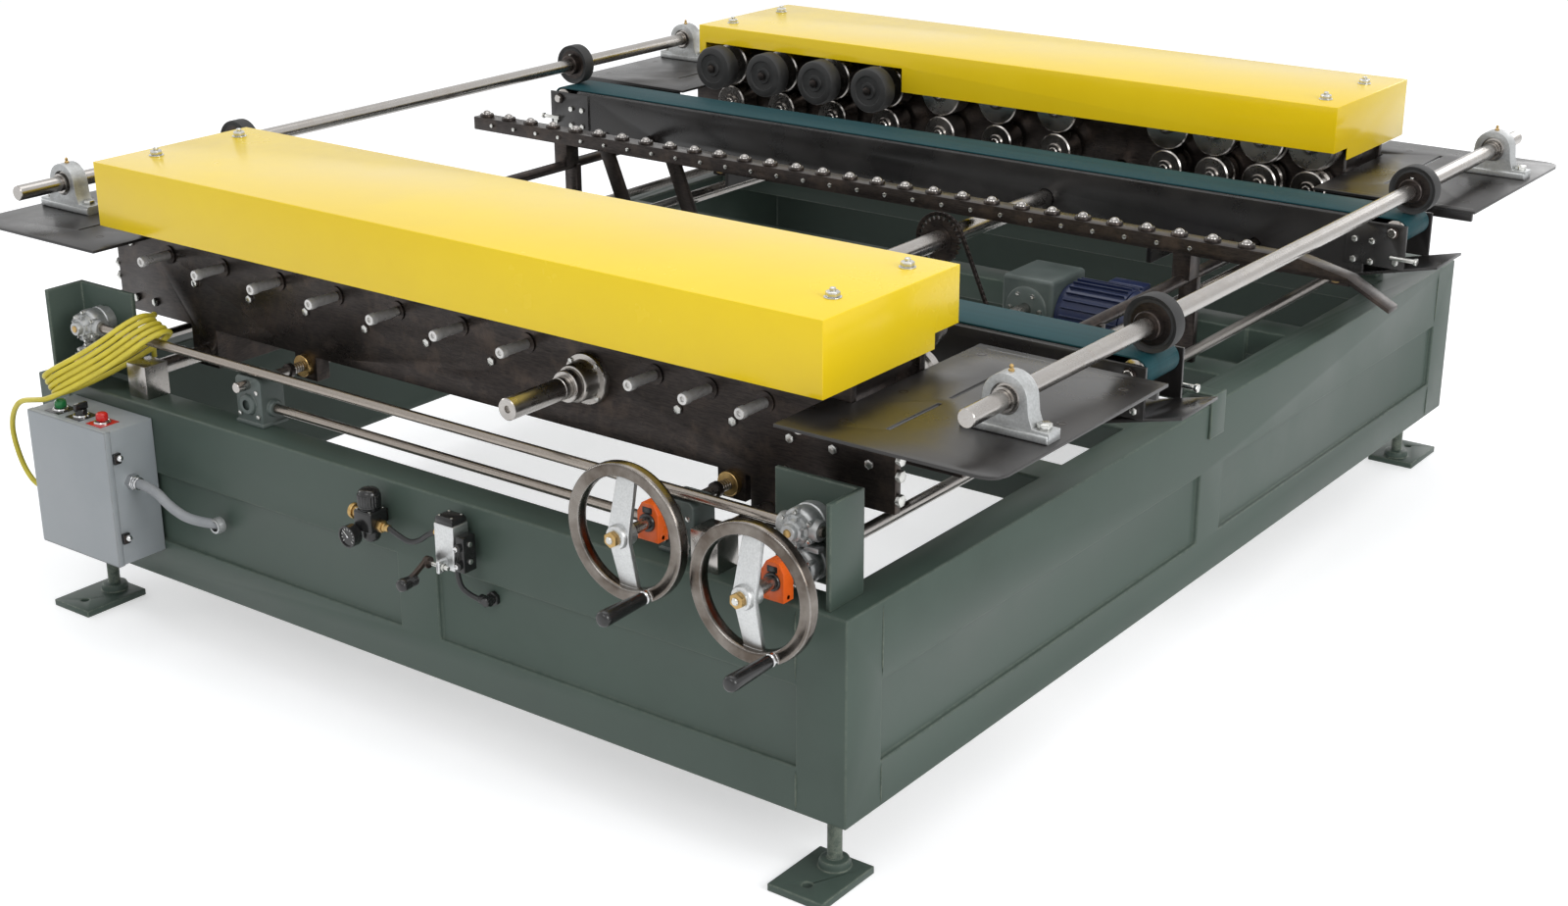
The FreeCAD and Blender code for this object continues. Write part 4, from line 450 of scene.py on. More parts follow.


# Its light edge colour, reaching 6 mm, is a painted highlight along the edges of the base and its
# fittings, not wear.
GREEN = paint("grey-green base paint", (0.053, 0.076, 0.062), (0.066, 0.093, 0.077), 0.42, 3, 300, 0.12,
              (0.26, 0.29, 0.23), 0, 0.27, 6)
YELLOW = paint("gloss yellow cover paint", (0.86, 0.60, 0.010), (0.90, 0.65, 0.014), 0.2, 2, 160, 0.05,
               None, 0.1, 0.3)
DARK = metal("blued plate", (0.022, 0.018, 0.017), (0.046, 0.037, 0.033), 0.32, (1, 1, 8), 60, 0.05,
             (0.07, 0.052, 0.042), 0.75)
BLACKED = paint("black table paint", (0.012, 0.011, 0.011), (0.024, 0.022, 0.021), 0.3, 6, 200, 0.08,
                (0.08, 0.08, 0.08))
STEEL = metal("ground shaft steel", (0.46, 0.44, 0.42), (0.38, 0.36, 0.34), 0.24, (6, 1, 6), 220, 0.04,
              (0.40, 0.37, 0.34))
OILED = metal("oiled shaft steel", (0.27, 0.235, 0.205), (0.36, 0.325, 0.29), 0.24, (1, 6, 6), 220,
              0.04)
# Ball steel is darkened to stand in for the dark surroundings the balls reflect: a painted reflection.
BALL_STEEL = metal("polished ball steel", (0.34, 0.325, 0.31), (0.28, 0.265, 0.255), 0.1, (1, 1, 1), 40,
                   0.02)
PIN_STEEL = metal("bright pin steel", (0.68, 0.67, 0.66), (0.56, 0.55, 0.53), 0.32, (1, 1, 1), 120,
                  0.05, None, 0.55)
CHROME = metal("polished chrome", (0.62, 0.62, 0.62), (0.54, 0.54, 0.55), 0.12, (1, 1, 1), 40, 0.02)
CAST = metal("aluminium casting", (0.50, 0.51, 0.51), (0.40, 0.41, 0.41), 0.45, (1, 1, 1), 240, 0.35,
             (0.3, 0.3, 0.29), 0.7)
ZINC = metal("zinc-plated bolts", (0.62, 0.62, 0.60), (0.50, 0.50, 0.47), 0.25, (1, 1, 1), 90, 0.06)
ALUMINIUM = metal("dished aluminium", (0.62, 0.63, 0.63), (0.52, 0.53, 0.53), 0.38, (1, 1, 1), 300,
                  0.15)
BRASS = metal("brass fittings", (0.50, 0.34, 0.14), (0.38, 0.25, 0.10), 0.3, (1, 1, 1), 100, 0.05)
BOX_GREY = paint("light grey box paint", (0.29, 0.315, 0.33), (0.33, 0.35, 0.365), 0.38, 5, 260, 0.1,
                 (0.25, 0.25, 0.24))
BLACK = moulded("black plastic", (0.008, 0.008, 0.008), (0.016, 0.016, 0.016), 0.22)
RUBBER = moulded("black rubber", (0.012, 0.012, 0.012), (0.026, 0.026, 0.026), 0.62, 300, 0.3)
HOSE = moulded("black hose", (0.008, 0.008, 0.009), (0.014, 0.014, 0.015), 0.4)
GREY_TUBE = moulded("grey conduit sheath", (0.24, 0.25, 0.26), (0.28, 0.29, 0.30), 0.5, 200, 0.2)
CORD = moulded("yellow cord jacket", (0.66, 0.56, 0.05), (0.56, 0.47, 0.045), 0.45, 200, 0.2)
ORANGE = moulded("orange indicator plastic", (0.85, 0.14, 0.015), (0.75, 0.11, 0.01), 0.3)
RED = moulded("red button", (0.55, 0.015, 0.012), (0.45, 0.01, 0.01), 0.25)
GREEN_CAP = moulded("green button", (0.01, 0.20, 0.05), (0.01, 0.15, 0.04), 0.25)
MOTOR = paint("dark blue motor paint", (0.010, 0.018, 0.060), (0.016, 0.026, 0.08), 0.35, 9, 200, 0.1,
              (0.05, 0.06, 0.1))
BELT = woven_belt()
RIM = rim_with_painted_light()
WHITE = moulded("pale dial face", (0.75, 0.75, 0.72), (0.7, 0.7, 0.67), 0.4)

# Each node keeps a worked finish even where a piece stands for it
NODE_FINISH = {
    "base_frame": GREEN, "levelling_feet": GREEN, "guide_rails": STEEL, "corner_brackets": GREEN,
    "far_drive_gearboxes": CAST, "near_drive_gearboxes": CAST, "screw_bearings": GREEN,
    "position_indicators": ORANGE, "gear_reducer": CAST, "drive_motor": MOTOR, "drive_chain": DARK,
    "ball_rail": DARK, "ball_transfers": BALL_STEEL, "control_box": BOX_GREY, "conduit": GREY_TUBE,
    "cord_run": CORD, "cord_hank": CORD, "air_regulator": BLACK, "air_valve": ALUMINIUM,
    "air_hoses": HOSE, "main_drive_shaft": STEEL, "reducer_output_shaft": STEEL,
    "near_screw_left": STEEL, "near_screw_right": STEEL, "far_screw_left": STEEL,
    "far_screw_right": STEEL, "near_grip": BLACK, "far_grip": BLACK, "upper_cross_shaft": OILED,
    "lower_cross_shaft": OILED, "entry_hold_shaft": STEEL, "exit_hold_shaft": STEEL,
    "far_entry_wheel": RUBBER, "far_exit_wheel": RUBBER, "control_box_door": BOX_GREY,
    "start_button": GREEN_CAP, "selector_switch": BLACK, "stop_button": RED, "regulator_knob": BLACK,
    "valve_lever": BLACK,
}
HEAD_FINISH = {
    "head_frame": DARK, "gear_case": DARK, "cover": YELLOW, "tables": BLACKED, "rolls": STEEL,
    "belt_bed": BLACKED, "belt": BELT, "drive_roller": STEEL, "idler_roller": STEEL, "bearings": CAST,
}
for side in ("near", "far"):
    NODE_FINISH.update({"%s_%s" % (side, word): item for word, item in HEAD_FINISH.items()})
for node, finish in NODE_FINISH.items():
    coat(frame["nodes"][node], finish)


# The photograph's camera, a pale floor and soft studio light
def camera():
    let_go()
    bpy.ops.object.camera_add()
    item = bpy.context.object
    item.matrix_world = (Matrix.Translation(mm(2826, -3841, 1980))
                         @ Matrix.Rotation(math.radians(36.8), 4, "Z")
                         @ Matrix.Rotation(math.radians(69.23), 4, "X")
                         @ Matrix.Rotation(math.radians(-0.19), 4, "Z"))
    item.data.sensor_width = 36
    item.data.lens = 51.05
    item.data.clip_end = 100
    bpy.context.scene.camera = item


def lamp(name, place, aim, size, power):
    let_go()
    bpy.ops.object.light_add(type="AREA", location=place)
    item = bpy.context.object
    item.name = name
    item.data.shape = "RECTANGLE"
    item.data.size, item.data.size_y = size
    item.data.energy = power
    item.rotation_euler = (Vector(aim) - Vector(place)).to_track_quat("-Z", "Y").to_euler()


def seen(tree):
    """1 for rays that see the background: straight, in a mirror or through glass."""
    path = tree.nodes.new("ShaderNodeLightPath")
    value = path.outputs["Is Camera Ray"]
    for word in ("Is Glossy Ray", "Is Transmission Ray"):
        either = tree.nodes.new("ShaderNodeMath")
        either.operation = "MAXIMUM"
        tree.links.new(value, either.inputs[0])
        tree.links.new(path.outputs[word], either.inputs[1])
        value = either.outputs["Value"]
    return value


def studio():
    bpy.context.scene.view_settings.view_transform = "Standard"
    world = bpy.data.worlds.new("soft studio")
    bpy.context.scene.world = world
    world.use_nodes = True
    tree = world.node_tree
    tree.nodes.clear()
    out = tree.nodes.new("ShaderNodeOutputWorld")
    soft, pale = tree.nodes.new("ShaderNodeBackground"), tree.nodes.new("ShaderNodeBackground")
    soft.inputs["Color"].default_value = (0.95, 0.97, 1, 1)
    soft.inputs["Strength"].default_value = 0.67
    pale.inputs["Strength"].default_value = 1.0
    pale.inputs["Color"].default_value = (1, 1, 1, 1)
    mix = tree.nodes.new("ShaderNodeMixShader")
    tree.links.new(seen(tree), mix.inputs[0])
    tree.links.new(soft.outputs[0], mix.inputs[1])
    tree.links.new(pale.outputs[0], mix.inputs[2])
    tree.links.new(mix.outputs[0], out.inputs["Surface"])
    lamp("key", (1.5, -5.5, 4.8), (0, -0.5, 0.6), (3, 2), 60)
    lamp("top", (-0.5, 0.5, 5.5), (0, 0, 0.6), (4, 4), 75)
    lamp("side", (5.5, -1.5, 2.8), (0, -0.3, 0.6), (2.5, 2.5), 120)
    lamp("back", (1, 6.5, 2.4), (0, 0, 0.5), (3, 2), 50)
    lamp("left", (-6, -1, 2.4), (0, 0, 0.5), (2, 2), 40)

    let_go()
    bpy.ops.mesh.primitive_plane_add(size=60)
    floor = bpy.context.object
    floor.name = "studio_floor"
    bpy.ops.object.mode_set(mode="EDIT")
    bpy.ops.mesh.subdivide(number_cuts=4)
    bpy.ops.object.mode_set(mode="OBJECT")
    material, tree, shader, place = tree_of("pale floor")
    shade = spread(tree, noise(tree, place, 1.5, 3), 0.80, 0.82)
    grey = tree.nodes.new("ShaderNodeCombineColor")
    for word in ("Red", "Green", "Blue"):
        tree.links.new(shade, grey.inputs[word])
    tree.links.new(grey.outputs["Color"], shader.inputs["Base Color"])
    shader.inputs["Roughness"].default_value = 0.9
    glow = tree.nodes.new("ShaderNodeEmission")
    add = tree.nodes.new("ShaderNodeAddShader")
    lit = tree.nodes.new("ShaderNodeMath")
    lit.operation = "MULTIPLY"
    lit.inputs[1].default_value = 0.45
    tree.links.new(seen(tree), lit.inputs[0])
    tree.links.new(lit.outputs["Value"], glow.inputs["Strength"])
    tree.links.new(shader.outputs["BSDF"], add.inputs[0])
    tree.links.new(glow.outputs["Emission"], add.inputs[1])
    tree.links.new(add.outputs["Shader"], tree.nodes["Material Output"].inputs["Surface"])
    coat(floor, material)


camera()
studio()


# Cords and hoses, each a smooth line on the same points as the model's tubes
def tube_line(name, points, diameter, material, body="frame"):
    let_go()
    bpy.ops.curve.primitive_nurbs_path_add()
    item = bpy.context.object
    item.name = item.data.name = name
    drawing = item.data
    drawing.splines.clear()
    drawing.dimensions = "3D"
    line = drawing.splines.new("NURBS")
    line.points.add(len(points) - 1)
    for spot, place in zip(line.points, points):
        spot.co = (*(Vector(place) * MM), 1)
    line.order_u = 3
    line.use_endpoint_u = True
    line.resolution_u = 8
    drawing.bevel_depth = diameter * MM / 2
    drawing.bevel_resolution = 5
    drawing.use_fill_caps = True
    item.location = (0, 0, 0)
    item.rotation_euler = (0, 0, 0)
    drawing.materials.append(material)
    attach(item, body)
    return item


HANK_TOP, HANK_FOOT = Vector((-697, -1162, 630.5)), Vector((-882.5, -1299.5, 488.5))
TOP_STEP, FOOT_STEP = Vector((-15.5, 0, 5.3)), Vector((-8, 0, 10))
HANK_LOOPS, HANK_DEPTH, HANK_SAG, HANK_BOW = 5, 81, 10, 2
CORD_THICK = 11
GLAND = Vector((-929, -1334, 285))
LEAD = [(0, 0, 0), (-50, 0, 0), (-85, -2, 29), (-99, -7, 79), (-94, -15, 128), (-66, -24, 172),
        (-26, -32, 204)]
TAIL = [(-38, 22, -6), (-62, 34, -36), (-70, 38, -80), (-70, 38, -110)]


def hank_points():
    """Corners of the hank's loops: up in front, over the shaft, down behind, one step on each time."""
    along = (HANK_TOP - HANK_FOOT).normalized()
    across = (Vector((0, -1, 0)) + along * along.y).normalized()
    down = along.cross(across)
    slack = down * (-HANK_SAG if down.z > 0 else HANK_SAG) + across * HANK_BOW
    fold = across * HANK_DEPTH
    points = []
    for index in range(HANK_LOOPS):
        top, foot = HANK_TOP + TOP_STEP * index, HANK_FOOT + FOOT_STEP * index
        run = top - foot
        points += [foot + fold, foot + fold + run * 0.5 + slack, top + fold, top]
        after = foot + FOOT_STEP
        if index + 1 < HANK_LOOPS:
            points += [top + (after - top) * 0.5 + slack, after]
    return points


def yellow_cord():
    loops = hank_points()
    lead = [GLAND + Vector(step) for step in LEAD]
    join = lead[-1] + (loops[0] - lead[-1]) * 0.5
    tail = [loops[-1] + Vector(step) for step in TAIL]
    cord = tube_line("yellow_cord", lead + [join] + loops + tail, CORD_THICK, CORD)
    end = tail[-1]
    plug = lathe([(0, 0), (6.2, 0), (7.5, -3), (9.5, -14), (13.5, -19), (15, -24), (15, -44),
                  (13.5, -49), (11, -51.5), (0, -51.5)], end, "Z", 40)
    coat(plug, BLACK)
    ribs = [coat(hoop(14.6, 1.6, (end.x, end.y, end.z - drop), "Z"), BLACK)
            for drop in (27, 31, 35, 39)]
    plug = fit("cord_plug", [plug] + ribs, "frame")
    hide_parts("cord_run", "cord_hank")


def conduit_and_hoses():
    end = (-475, -1276, 305)
    tube = tube_line("box_conduit", [(-637, -1334, 371), (-593, -1334, 371), (-551, -1332, 341),
                                     (-510, -1312, 314), end], 20, GREY_TUBE)
    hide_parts("conduit")
    ring = coat(lathe([(10.5, -1), (16, -1), (16, 9), (14.5, 12), (14.5, 15.5), (10.5, 15.5)],
                      (-475, -1260.5, 305), "Y", 40), CAST)
    ring = turn(ring, (-475, -1268, 305), "Z", 180)
    fit("conduit_bushing", [ring], "frame")


yellow_cord()
conduit_and_hoses()


# Base, rails, brackets and bearing blocks keep the model's shape with eased edges
refit("base_frame_painted", "base_frame", GREEN, "frame", 2.5)
refit("corner_bracket_angles", "corner_brackets", GREEN, "frame", 1.5)
refit("guide_rail_bars", "guide_rails", STEEL, "frame", 1)
refit("screw_bearing_blocks", "screw_bearings", GREEN, "frame", 2)


def weld_seams():
    """Weld beads where the base's side members meet its corner posts."""
    places = [(x, y) for x in (-1024, 1024) for y in (-1170, 1170)]
    places += [(x, y) for y in (-1270, 1270) for x in (-924, 924)]
    beads = [bar(2.4, length, (x, y, foot), "Z", 0, 10) for x, y in places
             for length, foot in ((84, 137), (141, 368))]
    for bead in beads:
        modify(bead, "SUBSURF", levels=1, render_levels=1)
        coat(bead, GREEN)
    fit("base_weld_seams", beads, "frame")


def feet():
    """Floor plates with their cups, threaded stems and lock nuts."""
    parts = []
    for x_sign in (1, -1):
        for y_sign in (1, -1):
            x, y = x_sign * 952, y_sign * 1198
            plate = cutout([[(-56, -75), (56, -75), (56, 75), (-56, 75)],
                            ring_line(9, (0, y_sign * 39))], 14,
                           (x, y + y_sign * 39, 7), "XY", 1.5)
            parts += [coat(item, GREEN) for item in (
                plate, lathe([(0, 14), (28, 14), (28, 22), (25, 28), (16, 30), (0, 30)], (x, y, 0)),
                lathe([(0, 28)] + [(13 - (step % 2) * 1.2, 30 + step * 2) for step in range(44)]
                      + [(13, 118), (0, 118)], (x, y, 0), "Z", 32))]
            parts.append(coat(nut(44, 20, (x, y, 117), "Z", 1.2), GREEN))
    fit("levelling_feet_threaded", parts, "frame", ["levelling_feet"])


weld_seams()
feet()


# Heads: side plates, case, cover and rolls, with bolts and shaft tips on the outer plate's face
ENTRY_PLACES = [-810 + 165.5 * step for step in range(7)]
EXIT_PLACES = [480 + 119.4 * step for step in range(4)]
PLACES = ENTRY_PLACES + EXIT_PLACES
PINCH_WHEELS = 4
BEARING_ROOM = 90
COVER_TOP, STUD_X, STUD_ROWS = 950, 842, (842, 1057)


def head_plates(side, word):
    """Side plates and case with the bolts on the outer face and at the plates' ends."""
    refit("%s_side_plates" % word, "%s_head_frame" % word, DARK, "%s_head" % word, 1.2)
    refit("%s_case_shell" % word, "%s_gear_case" % word, DARK, "%s_head" % word, 2)
    face = side * OUTER_FACE
    heads = []
    for index, (x, after) in enumerate(zip(PLACES, PLACES[1:])):
        middle = (x + after) / 2
        if abs(middle - DRIVE_X) >= BEARING_ROOM:
            heads.append((middle - 8, 700 if index % 2 else 704))
    heads += [(-930, 760), (-930, 640), (930, 690), (858, 700), (-870, 640), (760, 640)]
    bolts = []
    for x, z in heads:
        start = (x, face - (5 if side < 0 else 0), z)
        bolts.append(coat(nut(15, 5, start, "Y", 1), ZINC))
        bolts.append(coat(bar(9, 1.2, (x, face - (1.2 if side < 0 else 0), z), "Y", 0.3, 32), DARK))
    for edge in (-1, 1):
        for z in (636, 678, 706):
            for y in (1067, 865):
                x = edge * 980 - (0 if edge > 0 else 9)
                bolts.append(coat(nut(19, 9, (x, side * y, z), "X", 1), ZINC))
    fit("%s_plate_bolts" % word, bolts, "%s_head" % word)


def cover(side, word):
    """Bent sheet cover: the model's shell with its nuts taken off and its bends rounded."""
    shell = own_shape("%s_cover" % word)
    bpy.ops.object.mode_set(mode="EDIT")
    bpy.ops.mesh.select_all(action="DESELECT")
    bpy.ops.object.mode_set(mode="OBJECT")
    for point in shell.data.vertices:
        point.select = point.co.z > (COVER_TOP + 1) * MM
    bpy.ops.object.mode_set(mode="EDIT")
    bpy.ops.mesh.select_linked()
    bpy.ops.mesh.delete(type="VERT")
    bpy.ops.object.mode_set(mode="OBJECT")
    ease(shell, 3.2, 3, 40)
    coat(shell, YELLOW)
    fixings = []
    for x_sign in (1, -1):
        for reach in STUD_ROWS:
            x, y = x_sign * STUD_X, side * reach
            fixings.append(coat(bar(15, 2, (x, y, COVER_TOP), "Z", 0.5, 40), ZINC))
            fixings.append(coat(nut(22, 9, (x, y, COVER_TOP + 2), "Z", 1.4), ZINC))
            fixings.append(coat(lathe([(0, 11), (5.5, 11), (5.5, 15.5), (4, 17), (0, 17.8)],
                                      (x, y, COVER_TOP), "Z", 24), ZINC))
    fit("%s_cover_sheet" % word, [shell], "%s_head" % word, ["%s_cover" % word])
    fit("%s_cover_nuts" % word, fixings, "%s_head" % word)


def forming_rolls(side, word):
    """Shafts, profiled steel rolls, collared tips and the four rubber pinch wheels."""
    steel, rubber = [], []
    low, high = 43, 55

    def placed(profile, x, z, material, reach=-1, start=INNER_FACE, steps=48):
        """A turned piece that stands off a plate's face, outwards or with a reach of -1 inwards."""
        outline = [(radius, side * reach * step) for radius, step in profile]
        return coat(lathe(outline, (x, side * start, z), "Y", steps), material)

    for index, x in enumerate(PLACES):
        depth = max(0, index - 6) / 4
        lower = [(0, 0), (11, 0), (11, 7), (low - 6, 8), (low, 11), (low, 30), (low - 5 * depth, 34),
                 (low - 5 * depth, 46), (low, 50), (low, 67), (low - 3, 70), (20, 70), (18, 76),
                 (11, 76), (9, 79), (0, 79)]
        upper = [(0, 0), (11, 0), (11, 7), (high - 8, 8), (high, 11), (high, 31),
                 (high + 4.4 * depth, 35), (high + 4.4 * depth, 45), (high, 49), (high, 67),
                 (high - 3, 70), (18, 70)]
        if index < PINCH_WHEELS:
            upper += [(12, 70), (12, 104), (0, 104)]
        else:
            upper += [(18, 78), (11, 79), (9, 82), (0, 82)]
        steel += [placed(lower, x, LOWER_AXIS, STEEL), placed(upper, x, UPPER_AXIS, STEEL)]
        if index < PINCH_WHEELS:
            wheel = [(14, 101), (46, 101), (53, 103.5), (56, 108), (56, 142), (53, 146.5), (46, 149),
                     (38, 149), (36, 146), (22, 145), (20, 149), (14, 149), (12, 147), (0, 147)]
            rubber.append(placed(wheel, x, UPPER_AXIS, RUBBER))
            rubber.append(coat(nut(19, 6, (x, -708 if side < 0 else 702, UPPER_AXIS), "Y", 1), DARK))
        tip = [(0, 0), (9.5, 0), (9.5, 58), (11, 58.5), (11, 69), (9.8, 72.6), (5, 72.6), (4, 69),
               (0, 68)]
        collar = [(9.5, 0), (19, 0), (19, 3), (9.5, 3.5)]
        steel.append(placed(collar, x, LOWER_AXIS, DARK, 1, OUTER_FACE, 32))
        steel.append(placed(tip, x, LOWER_AXIS, PIN_STEEL, 1, OUTER_FACE, 32))
    fit("%s_forming_rolls" % word, steel, "%s_head" % word, ["%s_rolls" % word], 30)
    fit("%s_pinch_wheels" % word, rubber, "%s_head" % word)


for side, word in ((-1, "near"), (1, "far")):
    head_plates(side, word)
    cover(side, word)
    forming_rolls(side, word)


# Tables, pillow blocks and drive bearings
def head_tables(side, word):
    parts = []
    for x_sign in (1, -1):
        outline = [(x_sign * x, side * y) for x, y in (
            (850, 1228), (1226, 1228), (1246, 1222), (1254, 1214), (1260, 1194), (1260, 690),
            (895, 690), (895, 1077), (850, 1077))]
        holes = []
        for reach in (1068, 888):
            middle = (x_sign * 1010, side * reach)
            holes.append([(middle[0] - 4, middle[1] - 75), (middle[0] + 4, middle[1] - 75),
                          (middle[0] + 4, middle[1] + 75), (middle[0] - 4, middle[1] + 75)])
        parts.append(coat(cutout([outline] + holes, 6, (0, 0, 784), "XY", 0.9), BLACKED))
        for x, y in ((930, 1150), (930, 980), (1215, 960), (1215, 760), (930, 740)):
            parts.append(coat(lathe([(0, 786.6), (4, 786.6), (5, 787), (8, 787.25), (8.6, 787.05)],
                                    (x_sign * x, side * y, 0), "Z", 32), DARK))
        parts.append(coat(slab((330, 10, 26), (x_sign * 1085, side * 706, 773.5), 1.5), BLACKED))
    fit("%s_table_plates" % word, parts, "%s_head" % word, ["%s_tables" % word])


def pillow(x, side):
    """A cast pillow block with its feet, ring, insert, grease nipple and bolts."""
    y = side * PILLOW_Y
    outline = [(-80, -59), (80, -59), (80, -41), (50, -40), (43, -20), (41, 0)]
    outline += [(41 * math.cos(math.radians(step)), 41 * math.sin(math.radians(step)))
                for step in range(15, 180, 15)]
    outline += [(-41, 0), (-43, -20), (-50, -40), (-80, -41)]
    body = cutout([outline, ring_line(26, sides=40)], 36, (x, y, HOLD_Z), "XZ", 4, 3)
    foot = slab((158, 42, 14), (x, y, 794.2), 3, 3)
    insert = lathe([(16.6, -24), (21, -24), (21, -14), (25.5, -13), (25.5, 13), (21, 14), (21, 22),
                    (16.6, 22)], (x, y, HOLD_Z), "Y")
    nipple = lathe([(0, 883), (5, 883), (5, 889), (3, 891), (3.5, 895), (1.5, 898), (0, 898)],
                   (x, y, 0), "Z", 20)
    parts = [coat(body, CAST), coat(foot, CAST), coat(insert, STEEL), coat(nipple, BRASS)]
    for sign in (1, -1):
        parts.append(coat(bar(15, 2.5, (x + sign * 62, y, 801), "Z", 0.5), ZINC))
        parts.append(coat(nut(22, 12, (x + sign * 62, y, 803), "Z", 1.4), ZINC))
    return parts


def drive_bearing(side):
    """The drive shaft's flanged bearing with its bolts and lock screw."""
    face = side * OUTER_FACE
    profile = [(21.4, 0), (48, 0), (48, 9), (46, 12), (37, 13), (35, 16), (35, 40), (33, 45), (30, 46),
               (29.6, 48), (29, 48), (29, 62), (27.5, 64), (21.4, 64)]
    outline = [(radius, side * reach) for radius, reach in profile]
    parts = [coat(lathe(outline, (DRIVE_X, face, DRIVE_Z), "Y"), STEEL)]
    for x, z in ring_line(42, (DRIVE_X, DRIVE_Z), 4, math.radians(45)):
        parts.append(coat(nut(9, 5, (x, face + (11 if side > 0 else -16), z), "Y", 0.8), ZINC))
    parts.append(coat(bar(4, 3, (DRIVE_X, side * 1130 - 1.5, DRIVE_Z + 27), "Z", 0.5, 16), DARK))
    return parts


def bearings(side, word):
    parts = drive_bearing(side)
    for x in (HOLD_X, -HOLD_X):
        parts += pillow(x, side)
    screws, z, half, start = ((NEAR_SCREWS, NEAR_SCREW_Z, 10.3, -OUTER_FACE) if side < 0
                              else (FAR_SCREWS, FAR_SCREW_Z, 11.3, INNER_FACE))
    for x in screws:
        profile = [(half, -12), (21, -12), (22, -11), (22, 0), (16, 0.2), (16, 32), (14.5, 34),
                   (half, 34)]
        parts.append(coat(lathe(profile, (x, start, z), "Y"), BRASS))
    fit("%s_bearing_set" % word, parts, "%s_head" % word, ["%s_bearings" % word])


# Belt conveyors: bed, end brackets with their bolts, nose plates, belt and rollers
def belt_bed(side, word):
    """The bed's plates with their bolts, roller journals and belt adjusters."""
    refit("%s_bed_plates" % word, "%s_belt_bed" % word, BLACKED, "%s_head" % word, 1)
    trim = []
    y = side * BELT_Y
    for x_sign in (1, -1):
        for edge in (-1, 1):
            face = y + edge * 70.5
            start = face if edge > 0 else face - 5
            for x, z in ((1080, 700), (1080, 744), (1118, 700), (1118, 744), (1172, 706)):
                trim.append(coat(nut(13, 5, (x_sign * x, start, z), "Y", 0.8), ZINC))
            start = face if edge > 0 else face - 4
            trim.append(coat(bar(13, 4, (x_sign * ROLLER_X, start, ROLLER_AXIS), "Y", 1, 32), DARK))
        adjuster = bar(5, 60, (x_sign * 1190 - 30, y - side * 73, 715), "X", 0.8, 20)
        trim.append(coat(adjuster, ZINC))
        trim.append(coat(nut(14, 7, (x_sign * 1216 - 3.5, y - side * 73, 715), "X", 0.8), ZINC))
    for x in (-1000, -700, -400, -100, 200, 500, 800):
        for edge in (-1, 1):
            face = y + edge * 65.6
            trim.append(coat(nut(11, 4, (x, face if edge > 0 else face - 4, 690), "Y", 0.6), DARK))
    fit("%s_bed_bolts" % word, trim, "%s_head" % word)


def belt(side, word):
    """A closed belt: its outline round both rollers, cut from thick stock and eased."""
    outer, inner = [], []
    for radius, line in ((27.5, outer), (23.9, inner)):
        for x, first in ((ROLLER_X, -90), (-ROLLER_X, 90)):
            for step in range(13):
                angle = math.radians(first + 15 * step)
                line.append((x + radius * math.cos(angle), ROLLER_AXIS + radius * math.sin(angle)))
    band = cutout([outer, inner], 114, (0, side * BELT_Y, 0), "XZ", 1, 2)
    fit("%s_belt_band" % word, [coat(band, BELT)], "%s_head" % word, ["%s_belt" % word], 30)
    for use, x in (("drive", -ROLLER_X), ("idler", ROLLER_X)):
        profile = [(0, -79.5), (8.5, -79.5), (10, -78), (10, -57), (20, -56), (23.2, -54), (23.5, 0),
                   (23.2, 54), (20, 56), (10, 57), (10, 78), (8.5, 79.5), (0, 79.5)]
        roller = coat(lathe(profile, (x, side * BELT_Y, ROLLER_AXIS), "Y"), STEEL)
        flat = coat(slab((3, 26, 4), (x, side * BELT_Y + 64, ROLLER_AXIS + 10), 0.4), DARK)
        fit("%s_%s_roller_turned" % (word, use), [roller, flat], "%s_%s_roller" % (word, use),
            ["%s_%s_roller" % (word, use)])


for side, word in ((-1, "near"), (1, "far")):
    head_tables(side, word)
    bearings(side, word)
    belt_bed(side, word)
    belt(side, word)


# Hold-down shafts and their rubber wheels on steel collars
def hold_wheel(x, side):
    """A rubber tyre on its steel collar, with the collar's set screw."""
    place = (x, side * HOLD_WHEEL_Y, HOLD_Z)
    tyre = lathe([(22, -12), (43, -12), (47, -15), (50.2, -16), (50.7, -12), (50.7, 12), (50.2, 16),
                  (47, 15), (43, 12), (22, 12)], place, "Y", 64)
    collar = lathe([(16.6, -29), (24, -29), (26, -27), (26, -13), (38, -12.5), (38, 12.5), (26, 13),
                    (26, 27), (24, 29), (16.6, 29)], place, "Y")
    screw = nut(6, 4, (x, side * (HOLD_WHEEL_Y - 21), HOLD_Z + 25), "Z", 0.4)
    return [coat(tyre, RUBBER), coat(collar, DARK), coat(screw, ZINC)]


def hold_shafts():
    for use, x in (("entry", -HOLD_X), ("exit", HOLD_X)):
        profile = [(0, -1170), (14.5, -1170), (16, -1168), (16, 1168), (14.5, 1170), (0, 1170)]
        shaft = coat(lathe(profile, (x, 0, HOLD_Z), "Y", 56), STEEL)
        fit("%s_hold_bar" % use, [shaft] + hold_wheel(x, -1), "%s_hold_shaft" % use,
            ["%s_hold_shaft" % use])
        fit("far_%s_tyre" % use, hold_wheel(x, 1), "far_%s_wheel" % use, ["far_%s_wheel" % use])


hold_shafts()


